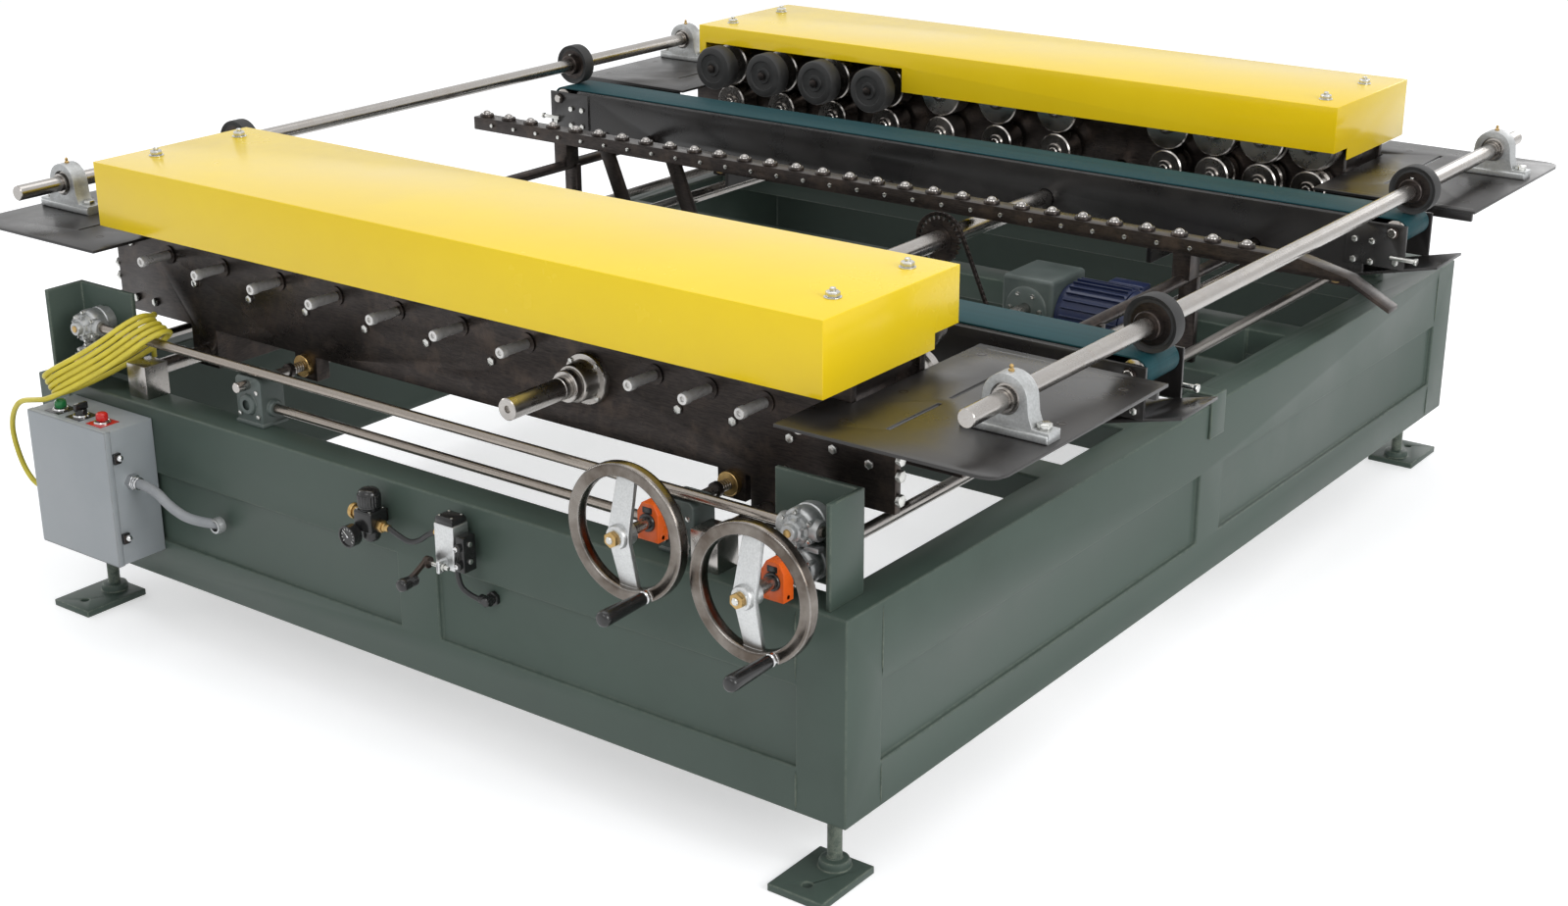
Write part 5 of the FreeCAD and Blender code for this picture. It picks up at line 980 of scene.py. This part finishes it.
# Ball rail: bolts along its side and bright balls in their cups
def ball_rail():
    refit("ball_rail_channel", "ball_rail", DARK, "frame", 1)
    cups, balls, bolts = [], [], []
    for index in range(BALL_COUNT):
        x = FIRST_BALL + BALL_PITCH * index
        cups.append(coat(lathe([(0, 780), (18, 780), (18, 784), (16.5, 786.5), (13, 787), (11.5, 785),
                                (0, 784)], (x, RAIL_Y, 0), "Z", 28), DARK))
        let_go()
        bpy.ops.mesh.primitive_uv_sphere_add(segments=28, ring_count=16, radius=12.4 * MM,
                                             location=mm(x, RAIL_Y, 782.6))
        ball = settle(bpy.context.object)
        bpy.ops.object.mode_set(mode="EDIT")
        bpy.ops.mesh.select_all(action="SELECT")
        bpy.ops.mesh.bisect(plane_co=mm(x, RAIL_Y, 781), plane_no=(0, 0, 1), clear_inner=True,
                            use_fill=True)
        bpy.ops.object.mode_set(mode="OBJECT")
        balls.append(coat(ball, BALL_STEEL))
        if index < BALL_COUNT - 2:
            bolts.append(coat(nut(9, 4, (x + 37, RAIL_Y - 26, 764), "Y", 0.6), ZINC))
    fit("ball_cups", cups, "frame", ["ball_transfers"])
    fit("ball_tops", balls, "frame")
    fit("ball_rail_bolts", bolts, "frame")


ball_rail()


# Shafts and screws
def corners(node):
    low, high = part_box(node)
    return Vector(low) / MM, Vector(high) / MM


def threaded(name, colour, shade, pitch):
    """Screw steel: bright crests with darker, rounded roots round the bar."""
    material, tree, shader, place = tree_of(name)
    wave = tree.nodes.new("ShaderNodeTexWave")
    wave.bands_direction = "Y"
    wave.inputs["Scale"].default_value = math.pi / 10 / (pitch * MM)
    wave.inputs["Distortion"].default_value = 0
    tree.links.new(place, wave.inputs["Vector"])
    tree.links.new(blend_colour(tree, wave.outputs["Fac"], shade, colour), shader.inputs["Base Color"])
    shader.inputs["Metallic"].default_value = 1
    shader.inputs["Roughness"].default_value = 0.3
    bump(tree, shader, wave.outputs["Fac"], 0.7, 1.2)
    return material


THREAD = threaded("screw thread steel", (0.5, 0.48, 0.45), (0.14, 0.12, 0.11), 6)


def shaft_profile(radius, low, high, chamfer=1.2):
    return [(0, low), (radius - chamfer, low), (radius, low + chamfer), (radius, high - chamfer),
            (radius - chamfer, high), (0, high)]


def screw_bar(node, x, z, radius, stop, start=None):
    """A screw: a plain journal in front and thread where the head's nut runs."""
    low, high = corners(node)
    plain = coat(lathe(shaft_profile(radius, start or low.y, stop), (x, 0, z), "Y", 40), STEEL)
    cut = coat(lathe(shaft_profile(radius, stop, high.y), (x, 0, z), "Y", 40), THREAD)
    collar = coat(lathe([(radius, stop - 3), (radius + 4, stop - 2.4), (radius + 4, stop + 7),
                         (radius, stop + 8)], (x, 0, z), "Y", 40), DARK)
    return [plain, cut, collar]


def cross_shaft(name, node, place):
    low, high = corners(node)
    bar_piece = coat(lathe(shaft_profile(9.5, low.x, high.x), (0, *place), "X", 40), OILED)
    fit(name, [bar_piece], node, [node])


NEAR_THREAD_START, FAR_THREAD_START = -1120, -300
cross_shaft("upper_cross_bar", "upper_cross_shaft", UPPER_SHAFT)
cross_shaft("lower_cross_bar", "lower_cross_shaft", LOWER_SHAFT)
fit("near_left_screw_bar",
    screw_bar("near_screw_left", NEAR_SCREWS[1], NEAR_SCREW_Z, 10, NEAR_THREAD_START),
    "near_screw_left", ["near_screw_left"])
fit("far_left_screw_bar", screw_bar("far_screw_left", FAR_SCREWS[1], FAR_SCREW_Z, 11, FAR_THREAD_START),
    "far_screw_left", ["far_screw_left"])


def sprocket(radius, teeth, x, z):
    """A chain wheel: its toothed edge drawn tooth by tooth and cut from plate."""
    outline = []
    for tooth in range(teeth):
        start = 2 * math.pi * tooth / teeth
        for share, reach in ((0.0, radius), (0.14, radius), (0.32, radius - 6), (0.5, radius - 8),
                             (0.68, radius - 6), (0.86, radius)):
            angle = start + 2 * math.pi * share / teeth
            outline.append((reach * math.cos(angle), reach * math.sin(angle)))
    return coat(cutout([outline], 8, (x, 60, z), "XZ", 0.8), DARK)


def drive_train():
    shaft = lathe([(0, -1278), (6, -1278), (7, -1283), (18.5, -1285), (20, -1283.4), (20, -1156),
                   (21, -1155), (21, 1128), (19, 1130), (0, 1130)], (DRIVE_X, 0, DRIVE_Z), "Y", 64)
    key = slab((6, 60, 3), (DRIVE_X, -1240, DRIVE_Z + 19.4), 0.6)
    hub = lathe([(21, 54), (31, 54), (31, 88), (29, 90), (21, 90)], (DRIVE_X, 0, DRIVE_Z), "Y")
    fit("drive_shaft_turned",
        [coat(shaft, STEEL), coat(key, DARK), coat(hub, DARK), sprocket(51.7, 25, DRIVE_X, DRIVE_Z)],
        "main_drive_shaft", ["main_drive_shaft"])
    low, high = corners("reducer_output_shaft")
    bar_piece = lathe(shaft_profile(15, low.y, high.y), (OUTPUT_X, 0, OUTPUT_Z), "Y", 48)
    hub = lathe([(15, 54), (23, 54), (23, 78), (21, 80), (15, 80)], (OUTPUT_X, 0, OUTPUT_Z), "Y")
    fit("output_shaft_turned",
        [coat(bar_piece, STEEL), coat(hub, DARK), sprocket(36.7, 17, OUTPUT_X, OUTPUT_Z)],
        "output_shaft", ["reducer_output_shaft"])


CHAIN_PITCH = 12.7


def chain_links():
    """Roller chain: plates and rollers set along the line round both sprockets."""
    large, small = (DRIVE_X, DRIVE_Z, 57), (OUTPUT_X, OUTPUT_Z, 42)
    reach = math.hypot(small[0] - large[0], small[1] - large[1])
    heading = math.atan2(small[1] - large[1], small[0] - large[0])
    lean = math.acos((large[2] - small[2]) / reach)
    line = []
    for (x, z, radius), first, sweep, steps in (
            (large, heading + lean, 2 * math.pi - 2 * lean, 40), (small, heading - lean, 2 * lean, 24)):
        for step in range(steps + 1):
            angle = first + sweep * step / steps
            line.append(Vector((x + radius * math.cos(angle), z + radius * math.sin(angle))))
    line.append(line[0])
    spans = [(after - before).length for before, after in zip(line, line[1:])]
    count = round(sum(spans) / CHAIN_PITCH)
    pitch = sum(spans) / count
    places, walked, want = [], 0, 0
    for before, after, span in zip(line, line[1:], spans):
        while want <= walked + span and len(places) < count:
            places.append(before + (after - before) * ((want - walked) / span))
            want += pitch
        walked += span
    link = slab((15.5, 1.4, 8), (0, 57.2, 0), 0.5, 1)
    other = again(link, 0, 5.6, 0)
    roll_piece = bar(3.6, 5, (0, 57.5, 0), "Y", 0, 10)
    pick(link, other, roll_piece)
    bpy.ops.object.join()
    master = bpy.context.object
    links = []
    for place, after in zip(places, places[1:] + places[:1]):
        copy = again(master, 0, 0, 0)
        way = after - place
        copy.rotation_euler = (0, -math.atan2(way.y, way.x), 0)
        copy.location = mm(place.x + way.x / 2, 0, place.y + way.y / 2)
        links.append(coat(settle(copy), DARK))
    bpy.data.objects.remove(master)
    fit("drive_chain_links", links, "frame", ["drive_chain"])


def reducer_and_motor():
    """The ribbed reducer with its output cap, and the finned motor beside it on its foot."""
    low, high = corners("gear_reducer")
    middle = (low.z + high.z) / 2
    body = slab((130, 150, high.z - low.z), (OUTPUT_X, REDUCER_Y, middle), 10, 4)
    cap = lathe([(15.4, -81), (44, -81), (50, -78), (52, -72), (52, 72), (50, 78), (44, 81),
                 (15.4, 81)],
                (OUTPUT_X, REDUCER_Y, OUTPUT_Z), "Y")
    parts = [coat(body, CASTING_GREEN), coat(cap, CASTING_GREEN)]
    for x, z in ring_line(38, (OUTPUT_X, OUTPUT_Z), 6):
        parts.append(coat(nut(10, 4, (x, 249.5, z), "Y", 0.6), ZINC))
    for fin in range(5):
        parts.append(coat(slab((131, 5, 120), (OUTPUT_X, 282 + fin * 26, middle), 1.5), CASTING_GREEN))
    fit("reducer_housing", parts, "frame", ["gear_reducer"])

    start, y, z = MOTOR_START, REDUCER_Y, MOTOR_Z
    barrel = lathe([(0, 0.3), (67, 0.3), (67, 14), (76, 16), (76, 158), (70, 160), (75.6, 162),
                    (75.6, 196), (70, 204), (58, 205), (56, 203), (0, 203)], (start, y, z), "X", 64)
    parts = [coat(barrel, MOTOR)]
    for fin in range(28):
        angle = 360 / 28 * fin
        rib = slab((136, 2.2, 9), (start + 87, y, z + 79), 0.6, 1)
        parts.append(coat(turn(rib, (start, y, z), "X", angle), MOTOR))
    parts.append(coat(slab((88, 38, 68), (start + 102.5, y + 85.6, z + 35), 4, 3), MOTOR))
    parts.append(coat(slab((84, 4, 64), (start + 102.5, y + 104, z + 35), 1.5), MOTOR))
    floor = corners("drive_motor")[0].z
    parts.append(coat(slab((108, 128, 10), (start + 102.5, y, floor + 5), 2), MOTOR))
    for edge in (-1, 1):
        parts.append(coat(slab((100, 10, z - 60 - floor),
                               (start + 102.5, y + edge * 40, (z - 60 + floor) / 2), 2), MOTOR))
    for across, up in ring_line(64, (y, z), 4, math.radians(45)):
        parts.append(coat(nut(8, 4, (start + 203, across, up), "X", 0.5), ZINC))
    fit("motor_body", parts, "frame", ["drive_motor"])


CASTING_GREEN = paint("grey-green casting", (0.075, 0.095, 0.088), (0.11, 0.135, 0.125), 0.42, 12, 180,
                      0.3, (0.2, 0.22, 0.2))
drive_train()
chain_links()
reducer_and_motor()


# Gearboxes: stacked castings for the far head, painted housings for the near head
def casting(x, z, upper):
    """A cast housing with flange bolts, ribs and a bearing boss at its front."""
    y = -1252
    profile = [(9 if upper else 11.4, -6), (13, -6), (14, -4), (14, 4), (18, 6), (20, 12), (25, 14),
               (27, 22), (31, 24), (33, 27), (33, 42), (31, 45), (31, 52), (33, 54), (33, 66), (29, 68),
               (29, 76), (0 if upper else 11.4, 76)]
    if upper:
        profile = [(0, -5), (9, -6)] + profile[1:]
    parts = [coat(lathe(profile, (x, y, z), "Y", 56), CAST)]
    for across, up in ring_line(29.5, (x, z), 6, math.radians(30)):
        parts.append(coat(bar(4.6, 14, (across, y + 17, up), "Y", 1, 20), CAST))
        parts.append(coat(nut(7, 4, (across, y + 13.5, up), "Y", 0.5), ZINC))
    for step in range(8):
        angle = 22.5 + 45 * step
        rib = slab((3, 22, 10), (x, y + 16, z + 21), 1, 2)
        parts.append(coat(turn(rib, (x, 0, z), "Y", angle), CAST))
    radius, length, reach, edge = (7, 3, 7.5, 0.6) if upper else (12.6, 2, 7.4, 0.5)
    parts.append(coat(bar(radius, length, (x, y - reach, z), "Y", edge, 32), BRASS))
    if upper:
        parts.append(coat(lathe([(9.6, -40), (16, -40), (18, -36), (18, 36), (16, 40), (9.6, 40)],
                                (x, UPPER_SHAFT[0], z), "X"), CAST))
    return parts


def far_gearboxes():
    parts = []
    for x in FAR_SCREWS:
        parts += casting(x, FAR_SCREW_Z, False) + casting(x, UPPER_SHAFT[1], True)
        for across in (22, -22):
            parts.append(coat(slab((30, 20, 10), (x + across, -1215, 588), 3), CAST))
    fit("far_gearbox_castings", parts, "frame", ["far_drive_gearboxes"])


def near_gearboxes():
    parts = []
    y, shaft_z = LOWER_SHAFT
    for x in NEAR_SCREWS:
        outline = [(-36, 509), (36, 509), (36, 600), (27, 608), (-27, 608), (-36, 600)]
        body = cutout([outline], 58, (x, y, 0), "XZ", 2.5, 3)
        cap = lathe([(10.4, -36.6), (17, -37), (20, -35), (21.5, -30), (21.5, 30), (20, 35), (17, 37),
                     (10.4, 36.6)], (x, y, 552), "Y")
        parts += [coat(body, CASTING_GREEN), coat(cap, CASTING_GREEN)]
        parts.append(coat(slab((78, 64, 7), (x, y, 513), 1.5), CASTING_GREEN))
        for across in (-26, 26):
            for up in (530, 580):
                parts.append(coat(nut(9, 4, (x + across, y - 33, up), "Y", 0.6), ZINC))
        parts.append(coat(lathe([(9.6, -46), (15, -46), (17, -43), (17, 43), (15, 46), (9.6, 46)],
                                (x, y, shaft_z), "X"), CASTING_GREEN))
    fit("near_gearbox_housings", parts, "frame", ["near_drive_gearboxes"])


far_gearboxes()
near_gearboxes()


# Orange position indicators with a dark window
def indicators():
    parts = []
    for x, z, radius in ((NEAR_SCREWS[0], NEAR_SCREW_Z, 10.4), (FAR_SCREWS[0], FAR_SCREW_Z, 11.4)):
        outline = [(-22, -33), (22, -33), (22, 16), (12, 33), (-12, 33), (-22, 16)]
        shell = cutout([outline, ring_line(radius, sides=32)], 26, (x, -1284, z), "XZ", 3, 3)
        parts.append(coat(shell, ORANGE))
        parts.append(coat(slab((20, 3, 11), (x, -1296.8, z + 21), 1.2), BLACK))
        parts.append(coat(lathe([(radius, -14), (15, -14), (16, -12), (16, -8), (radius, -8)],
                                (x, -1287, z), "Y"), BLACK))
        parts.append(coat(nut(8, 5, (x + 17, -1284, z - 26), "X", 0.5), ZINC))
    fit("indicator_shells", parts, "frame", ["position_indicators"])


indicators()


# Handwheels: chromed rim, dished bar, hub, nut and the spinning grips
RIM_MIDDLE, RIM_HALF, SPOKE_REACH, GRIP_TURN = 108, 11.8, 102, math.radians(65)


def handwheel(word, x, z, radius, stop):
    """A rim of rounded square section, a dished and tapered bar, hub, nut, crank pin and its grip."""
    name, node, grip_node = "%s_handwheel" % word, "%s_screw_right" % word, "%s_grip" % word
    centre = (x, WHEEL_Y, z)
    section = []
    for step in range(32):
        angle = 2 * math.pi * step / 32
        across, along = math.cos(angle), math.sin(angle)
        pull = RIM_HALF * (abs(across) ** 5 + abs(along) ** 5) ** (-1 / 5)
        section.append((RIM_MIDDLE + pull * across, pull * along))
    rim = lathe(section + section[:1], centre, "Y", 112)
    outline = [(11, SPOKE_REACH), (1, SPOKE_REACH), (-24, 6), (-24, -6), (1, -SPOKE_REACH),
               (11, -SPOKE_REACH), (-14, -6), (-14, 6)]
    spoke = cutout([outline], 44, centre, "YZ", 0)
    for point in spoke.data.vertices:
        reach = min(1, abs(point.co.z / MM - z) / SPOKE_REACH)
        point.co.x = x * MM + (point.co.x - x * MM) * (1 - 0.16 * reach)
    ease(spoke, 1.6, 3)
    hub = lathe([(radius, -33), (15, -33), (19, -31), (21, -26), (21, 0), (19.5, 2), (radius, 2)],
                centre, "Y")
    washer = lathe([(0, -35.5), (15, -35.5), (15, -33), (0, -33)], centre, "Y")
    head = nut(24, 9, (x, WHEEL_Y - 44, z), "Y", 1.6)
    stub = lathe([(0, -47.5), (5, -47.5), (6.4, -46), (6.4, -36), (0, -36)], centre, "Y", 32)
    crank = (x + RIM_MIDDLE * math.cos(GRIP_TURN), WHEEL_Y, z - RIM_MIDDLE * math.sin(GRIP_TURN))
    boss = lathe([(5, -19), (9, -19), (11, -17), (11.5, -11), (5, -10)], crank, "Y", 36)
    pin = lathe([(0, -12), (4.9, -12), (4.9, -104), (0, -104)], crank, "Y", 28)
    parts = [coat(item, finish) for item, finish in (
        (rim, RIM), (spoke, ALUMINIUM), (hub, ALUMINIUM), (washer, ZINC), (head, BRASS), (stub, ZINC),
        (boss, CHROME), (pin, STEEL))]
    fit(name, parts + screw_bar(node, x, z, radius, stop, WHEEL_Y - 33), node, [node], 30)
    grip = lathe([(5.1, -19.4), (9.4, -19.4), (10.6, -20.6), (11, -24), (11.2, -34), (12.4, -62),
                  (13.6, -96), (14, -110), (13.6, -117), (11.6, -121.6), (8, -123.2), (0, -123.2)],
                 crank, "Y", 48)
    fit("%s_grip_moulding" % word, [coat(grip, BLACK)], grip_node, [grip_node], 50)


handwheel("near", NEAR_SCREWS[0], NEAR_SCREW_Z, 10, NEAR_THREAD_START)
handwheel("far", FAR_SCREWS[0], FAR_SCREW_Z, 11, FAR_THREAD_START)


# Control box: folded case, rimmed door, button row, clamps, gland and conduit connector
def drill(item, radius, spots, axis="Z"):
    """Round holes through a piece."""
    for spot in spots:
        tool = bar(radius, 40, spot, axis, 0, 40)
        modify(item, "BOOLEAN", operation="DIFFERENCE", object=tool, solver="EXACT")
        bpy.data.objects.remove(tool)
    return item


def open_case(size, centre, wall):
    """A folded case without its front, from a block whose front face is taken off."""
    item = slab(size, centre, 0)
    bpy.context.tool_settings.mesh_select_mode = (False, False, True)
    for face in item.data.polygons:
        face.select = face.normal.y < -0.5
    bpy.ops.object.mode_set(mode="EDIT")
    bpy.ops.mesh.delete(type="FACE")
    bpy.ops.object.mode_set(mode="OBJECT")
    bpy.context.tool_settings.mesh_select_mode = (True, False, False)
    return modify(item, "SOLIDIFY", thickness=wall * MM, offset=-1)


BUTTONS = (-851, -785, -719)
ROW_Y, BOX_TOP = -1345, 485


def control_box():
    case = open_case((244, 112, 282), (-785, -1326.3, 344), 4)
    drill(case, 6.4, [(x, ROW_Y, BOX_TOP - 20) for x in BUTTONS])
    parts = [coat(ease(case, 1.6, 3), BOX_GREY)]
    for x, colour in zip(BUTTONS, (BLACK, BLACK, RED)):
        edge = [(-23, -23), (23, -23), (23, 23), (-23, 23)]
        plate = cutout([edge, ring_line(12.6, sides=40)], 0.9, (x, ROW_Y, BOX_TOP + 0.45), "XY", 0.3, 1)
        ring = lathe([(12.4, 0), (15.5, 0), (17, 0.8), (17, 2.6), (15.4, 4.8), (13.4, 5), (12.4, 4.4),
                      (12.4, 0)], (x, ROW_Y, BOX_TOP), "Z", 56)
        parts += [coat(plate, colour), coat(ring, CHROME)]
    for z in (259.4, 428.6):
        parts.append(coat(slab((8, 16, 22), (-659, -1364.3, z), 1.6), BLACK))
        parts.append(coat(slab((2, 13, 17), (-654.4, -1365.5, z), 0.8), DARK))
        dome = lathe([(0, 0), (6.5, 0), (6.8, 3), (6, 6), (4, 8), (0, 8.8)],
                     (-654, -1363, z + 2), "X", 36)
        parts.append(coat(dome, CHROME))
    gland = lathe([(5.7, -22), (7.4, -22), (9.2, -20), (10.6, -14), (11, -12), (12, -11.6), (12, -9),
                   (12, 0), (5.7, 0), (5.7, -22)], (-907, -1334, 285), "X", 40)
    parts += [coat(gland, BLACK), coat(nut(21, 6, (-915, -1334, 285), "X", 1), BLACK)]
    connector = lathe([(10.2, 14), (12.4, 14), (13.5, 15), (13.5, 18), (12.6, 19), (13.5, 20),
                       (13.5, 24), (12.4, 26), (10.2, 26)], (-663, -1334, 371), "X", 40)
    parts += [coat(nut(29.2, 14, (-663, -1334, 371), "X", 1.6), CHROME), coat(connector, CHROME)]
    for z in (203, 485):
        parts.append(coat(slab((246, 1.2, 1.2), (-785, -1371.6, z), 0.3, 1), BOX_GREY))
    fit("control_box_case", parts, "frame", ["control_box"])


def box_door():
    """The door's face with thin rims turned back over the case on its three free sides."""
    face = slab((244, 3, 282), (-785, -1384.1, 344), 1.2, 3)
    right = slab((1.2, 12.6, 284), (-662.2, -1378.9, 344), 0.5)
    above = slab((243, 12.6, 1.2), (-784, -1378.9, 485.9), 0.5)
    below = slab((243, 12.6, 1.2), (-784, -1378.9, 202.1), 0.5)
    fit("box_door_sheet", [coat(item, BOX_GREY) for item in (face, right, above, below)], "door",
        ["control_box_door"])


def buttons():
    cap = [(0, -14), (5.6, -14), (6, -13), (6, 6), (10.6, 6), (11.6, 6.6), (12, 8), (12, 15),
           (11.2, 19), (8.5, 21.4), (4, 22.2), (0, 22.4)]
    for x, word, colour in ((BUTTONS[0], "start", GREEN_CAP), (BUTTONS[2], "stop", RED)):
        fit("%s_button_cap" % word, [coat(lathe(cap, (x, ROW_Y, BOX_TOP), "Z", 48), colour)],
            "%s_button" % word, ["%s_button" % word])
    base = lathe([(0, -14), (6, -14), (6, 0.4), (11, 0.4), (12, 1.4), (12, 13), (11, 15.6), (0, 16.3)],
                 (BUTTONS[1], ROW_Y, BOX_TOP), "Z", 48)
    handle = slab((9, 31, 15), (BUTTONS[1], ROW_Y, BOX_TOP + 20.5), 2.6, 4)
    mark = slab((1.6, 10, 0.8), (BUTTONS[1], ROW_Y - 9, BOX_TOP + 28), 0.2, 1)
    fit("selector_handle", [coat(base, BLACK), coat(handle, BLACK), coat(mark, WHITE)], "selector",
        ["selector_switch"])


control_box()
box_door()
buttons()


# Air parts: regulator with its gauge, hand valve, lever and the two hoses
def dial(x, y, z):
    """A round gauge: dark case and bezel, dark face with pale ticks, a pointer and a bright pivot."""
    case = coat(lathe([(0, 0), (17, 0), (19.5, 2), (20.5, 5), (20.5, 18), (21, 19), (21, 22),
                       (19.4, 22.4), (18, 21.6), (17.6, 19.6), (0, 19.6)], (x, y, z), "Y", 64), BLACK)
    case = turn(case, (x, y, z), "Z", 180)
    parts = [case]
    for step in range(11):
        tick = slab((0.9, 0.5, 3.4 if step % 5 else 5), (x, y - 19.8, z + 14.4), 0, 1)
        parts.append(coat(turn(tick, (x, y, z), "Y", -130 + 26 * step), WHITE))
    hand = slab((1.3, 0.6, 15), (x, y - 20.3, z + 5), 0, 1)
    parts += [coat(turn(hand, (x, y, z), "Y", -48), WHITE),
              coat(bar(2.2, 1.4, (x, y - 21, z), "Y", 0.4, 20), CHROME)]
    return parts


def air_regulator():
    x, y, z = -9, -1304, 441
    parts = [coat(slab((44, 44, 42), (x, y, z), 5, 4), BLACK)]
    parts.append(coat(lathe([(0, 21), (19, 21), (19, 22.6), (17.4, 23.4), (17.4, 25), (0, 25)],
                            (x, y, z), "Z"), BLACK))
    parts.append(coat(lathe([(0, -43), (7, -43), (8, -41), (13, -39.5), (16, -36), (17, -32), (17, -21),
                             (0, -21)], (x, y, z), "Z"), BLACK))
    parts.append(coat(slab((22, 12.5, 25), (x, -1276.2, z), 1.5), DARK))
    parts += dial(-27, -1326, 415)
    parts.append(coat(nut(24, 11, (-42, y, z + 6), "X", 1.4), BRASS))
    collar = lathe([(7.6, -24), (12.4, -24), (14.6, -22.6), (15, -20), (15, -17), (13.6, -15),
                    (11, -14.6), (11, -11), (7.6, -11), (7.6, -24)], (-31, y, z + 6), "X", 40)
    parts.append(coat(collar, BRASS))
    parts.append(coat(nut(20.6, 12, (13, y, z - 8), "X", 1.2), BRASS))
    parts.append(coat(lathe([(5.2, 12), (8.4, 12), (8.8, 15), (7, 17), (7, 23), (6.2, 26), (5.2, 26)],
                            (13, y, z - 8), "X", 32), BRASS))
    for corner in ((-16, -16), (16, -16), (-16, 16), (16, 16)):
        parts.append(coat(bar(2.6, 1.6, (x + corner[0], y + corner[1], z + 20.4), "Z", 0.6, 16), ZINC))
    fit("air_regulator_body", parts, "frame", ["air_regulator"])

    outline, foot = [], 466.4
    for tooth in range(48):
        angle, reach = math.pi * tooth / 24, 22 if tooth % 2 else 20.6
        outline.append((reach * math.cos(angle), reach * math.sin(angle)))
    grip = cutout([outline], 24, (x, y, foot + 12))
    skirt = lathe([(0, 0), (21.6, 0), (21.6, 3), (0, 3)], (x, y, foot))
    top = lathe([(0, 24), (20.2, 24), (19, 29), (15.5, 32.4), (10, 33.8), (0, 34)], (x, y, foot))
    fit("regulator_knob_ribbed", [coat(item, BLACK) for item in (grip, skirt, top)], "regulator_knob",
        ["regulator_knob"])


def hand_valve():
    x, y = 195, -1302
    parts = [coat(slab((46, 40, 84), (x, y, 442), 2.2, 3), ALUMINIUM)]
    cap = lathe([(0, 0), (28, 0), (29.6, 1.6), (29.6, 9), (25, 14), (0, 14)], (0, 0, 0), "Z", 4)
    cap = turn(cap, (0, 0, 0), "Z", 45)
    cap.scale.y = 36 / 42
    parts.append(coat(shift(ease(settle(cap), 1.2), x, y, 484), BLACK))
    for corner in ((-15, -12), (15, -12), (-15, 12), (15, 12)):
        parts.append(coat(bar(2.4, 2, (x + corner[0], y + corner[1], 496.8), "Z", 0.7, 16), ZINC))
    parts.append(coat(slab((20, 32, 67), (x + 33, y, 433.5), 2, 3), BLACK))
    for z in (415, 448):
        parts.append(coat(bar(8, 9, (x + 34, y - 24, z), "Y", 1.2, 32), BLACK))
        parts.append(coat(nut(9, 4, (x + 34, y - 27, z), "Y", 0.6), CHROME))
        parts.append(coat(bar(5, 4, (x + 42, y, z + 4), "X", 0.8, 24), ZINC))
    parts.append(coat(slab((23, 12.5, 42), (x, -1276.2, 446), 1.5), DARK))
    parts.append(coat(nut(15.6, 12, (160, y, 456), "X", 1), BRASS))
    parts.append(coat(lathe([(5.2, -4), (6.6, -4), (7, 0), (5.2, 0)], (160, y, 456), "X", 28), BRASS))
    parts.append(coat(lathe([(5.2, 394), (7.4, 394), (9, 396.4), (9, 407), (5.2, 410)], (x + 9, y, 0),
                            "Z", 32), BLACK))
    parts.append(coat(bar(4, 58, (160, -1336, 412), "X", 0.8, 28), ZINC))
    parts.append(coat(nut(13, 5, (x + 9, -1336, 412), "X", 0.8), ZINC))
    parts.append(coat(slab((8, 24, 24), (x + 4, -1333, 412), 2.4, 3), ALUMINIUM))
    fit("hand_valve_body", parts, "frame", ["air_valve"])

    eye = lathe([(4.06, -5), (10, -5), (11, -4), (11, 4), (10, 5), (4.06, 5), (4.06, -5)],
                (167, -1336, 412), "X", 40)
    outline = [(-9, -3), (-34, -17), (-58, -27), (-60, -19), (-34, -7), (-9, 7)]
    arm = cutout([outline], 8, (167, -1336, 412), "YZ", 1.6, 3)
    grip = lathe([(0, 0), (7, 0), (10, 2), (11.6, 6), (12, 12), (11, 22), (9.6, 32), (9.2, 39),
                  (8, 41.6), (0, 42)], (167, -1408, 390), "Y", 44)
    ribs = [hoop(9.7 + 0.16 * step, 1.5, (167, -1370 - 4.5 * step, 390))
            for step in range(5)]
    fit("valve_lever_handle",
        [coat(eye, DARK), coat(arm, DARK), coat(grip, BLACK)] + [coat(rib, BLACK) for rib in ribs],
        "valve_lever", ["valve_lever"])


def hose_runs():
    first = tube_line("valve_hose",
                      [(36, -1304, 434), (64, -1305, 425), (91, -1305, 419), (117, -1303, 429),
                       (137, -1303, 447), (159, -1302, 457)], 10, HOSE)
    second = tube_line("panel_hose",
                       [(204, -1302, 397), (204, -1300, 366), (216, -1290, 346), (236, -1282, 338)],
                       10, HOSE)
    ring = nut(25, 8, (252, -1268, 338), "Y", 1.2)
    leg = lathe([(0, -20), (7, -20), (9, -18), (9, 0), (0, 0)], (252, -1268, 338), "Y", 36)
    branch = lathe([(5.2, -18), (8, -18), (9, -16.6), (9, -8), (8.4, -7), (8.4, 8), (0, 8)],
                   (252, -1278, 338), "X", 36)
    fit("bulkhead_elbow", [coat(item, BLACK) for item in (ring, leg, branch)], "frame")
    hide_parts("air_hoses")


air_regulator()
hand_valve()
hose_runs()
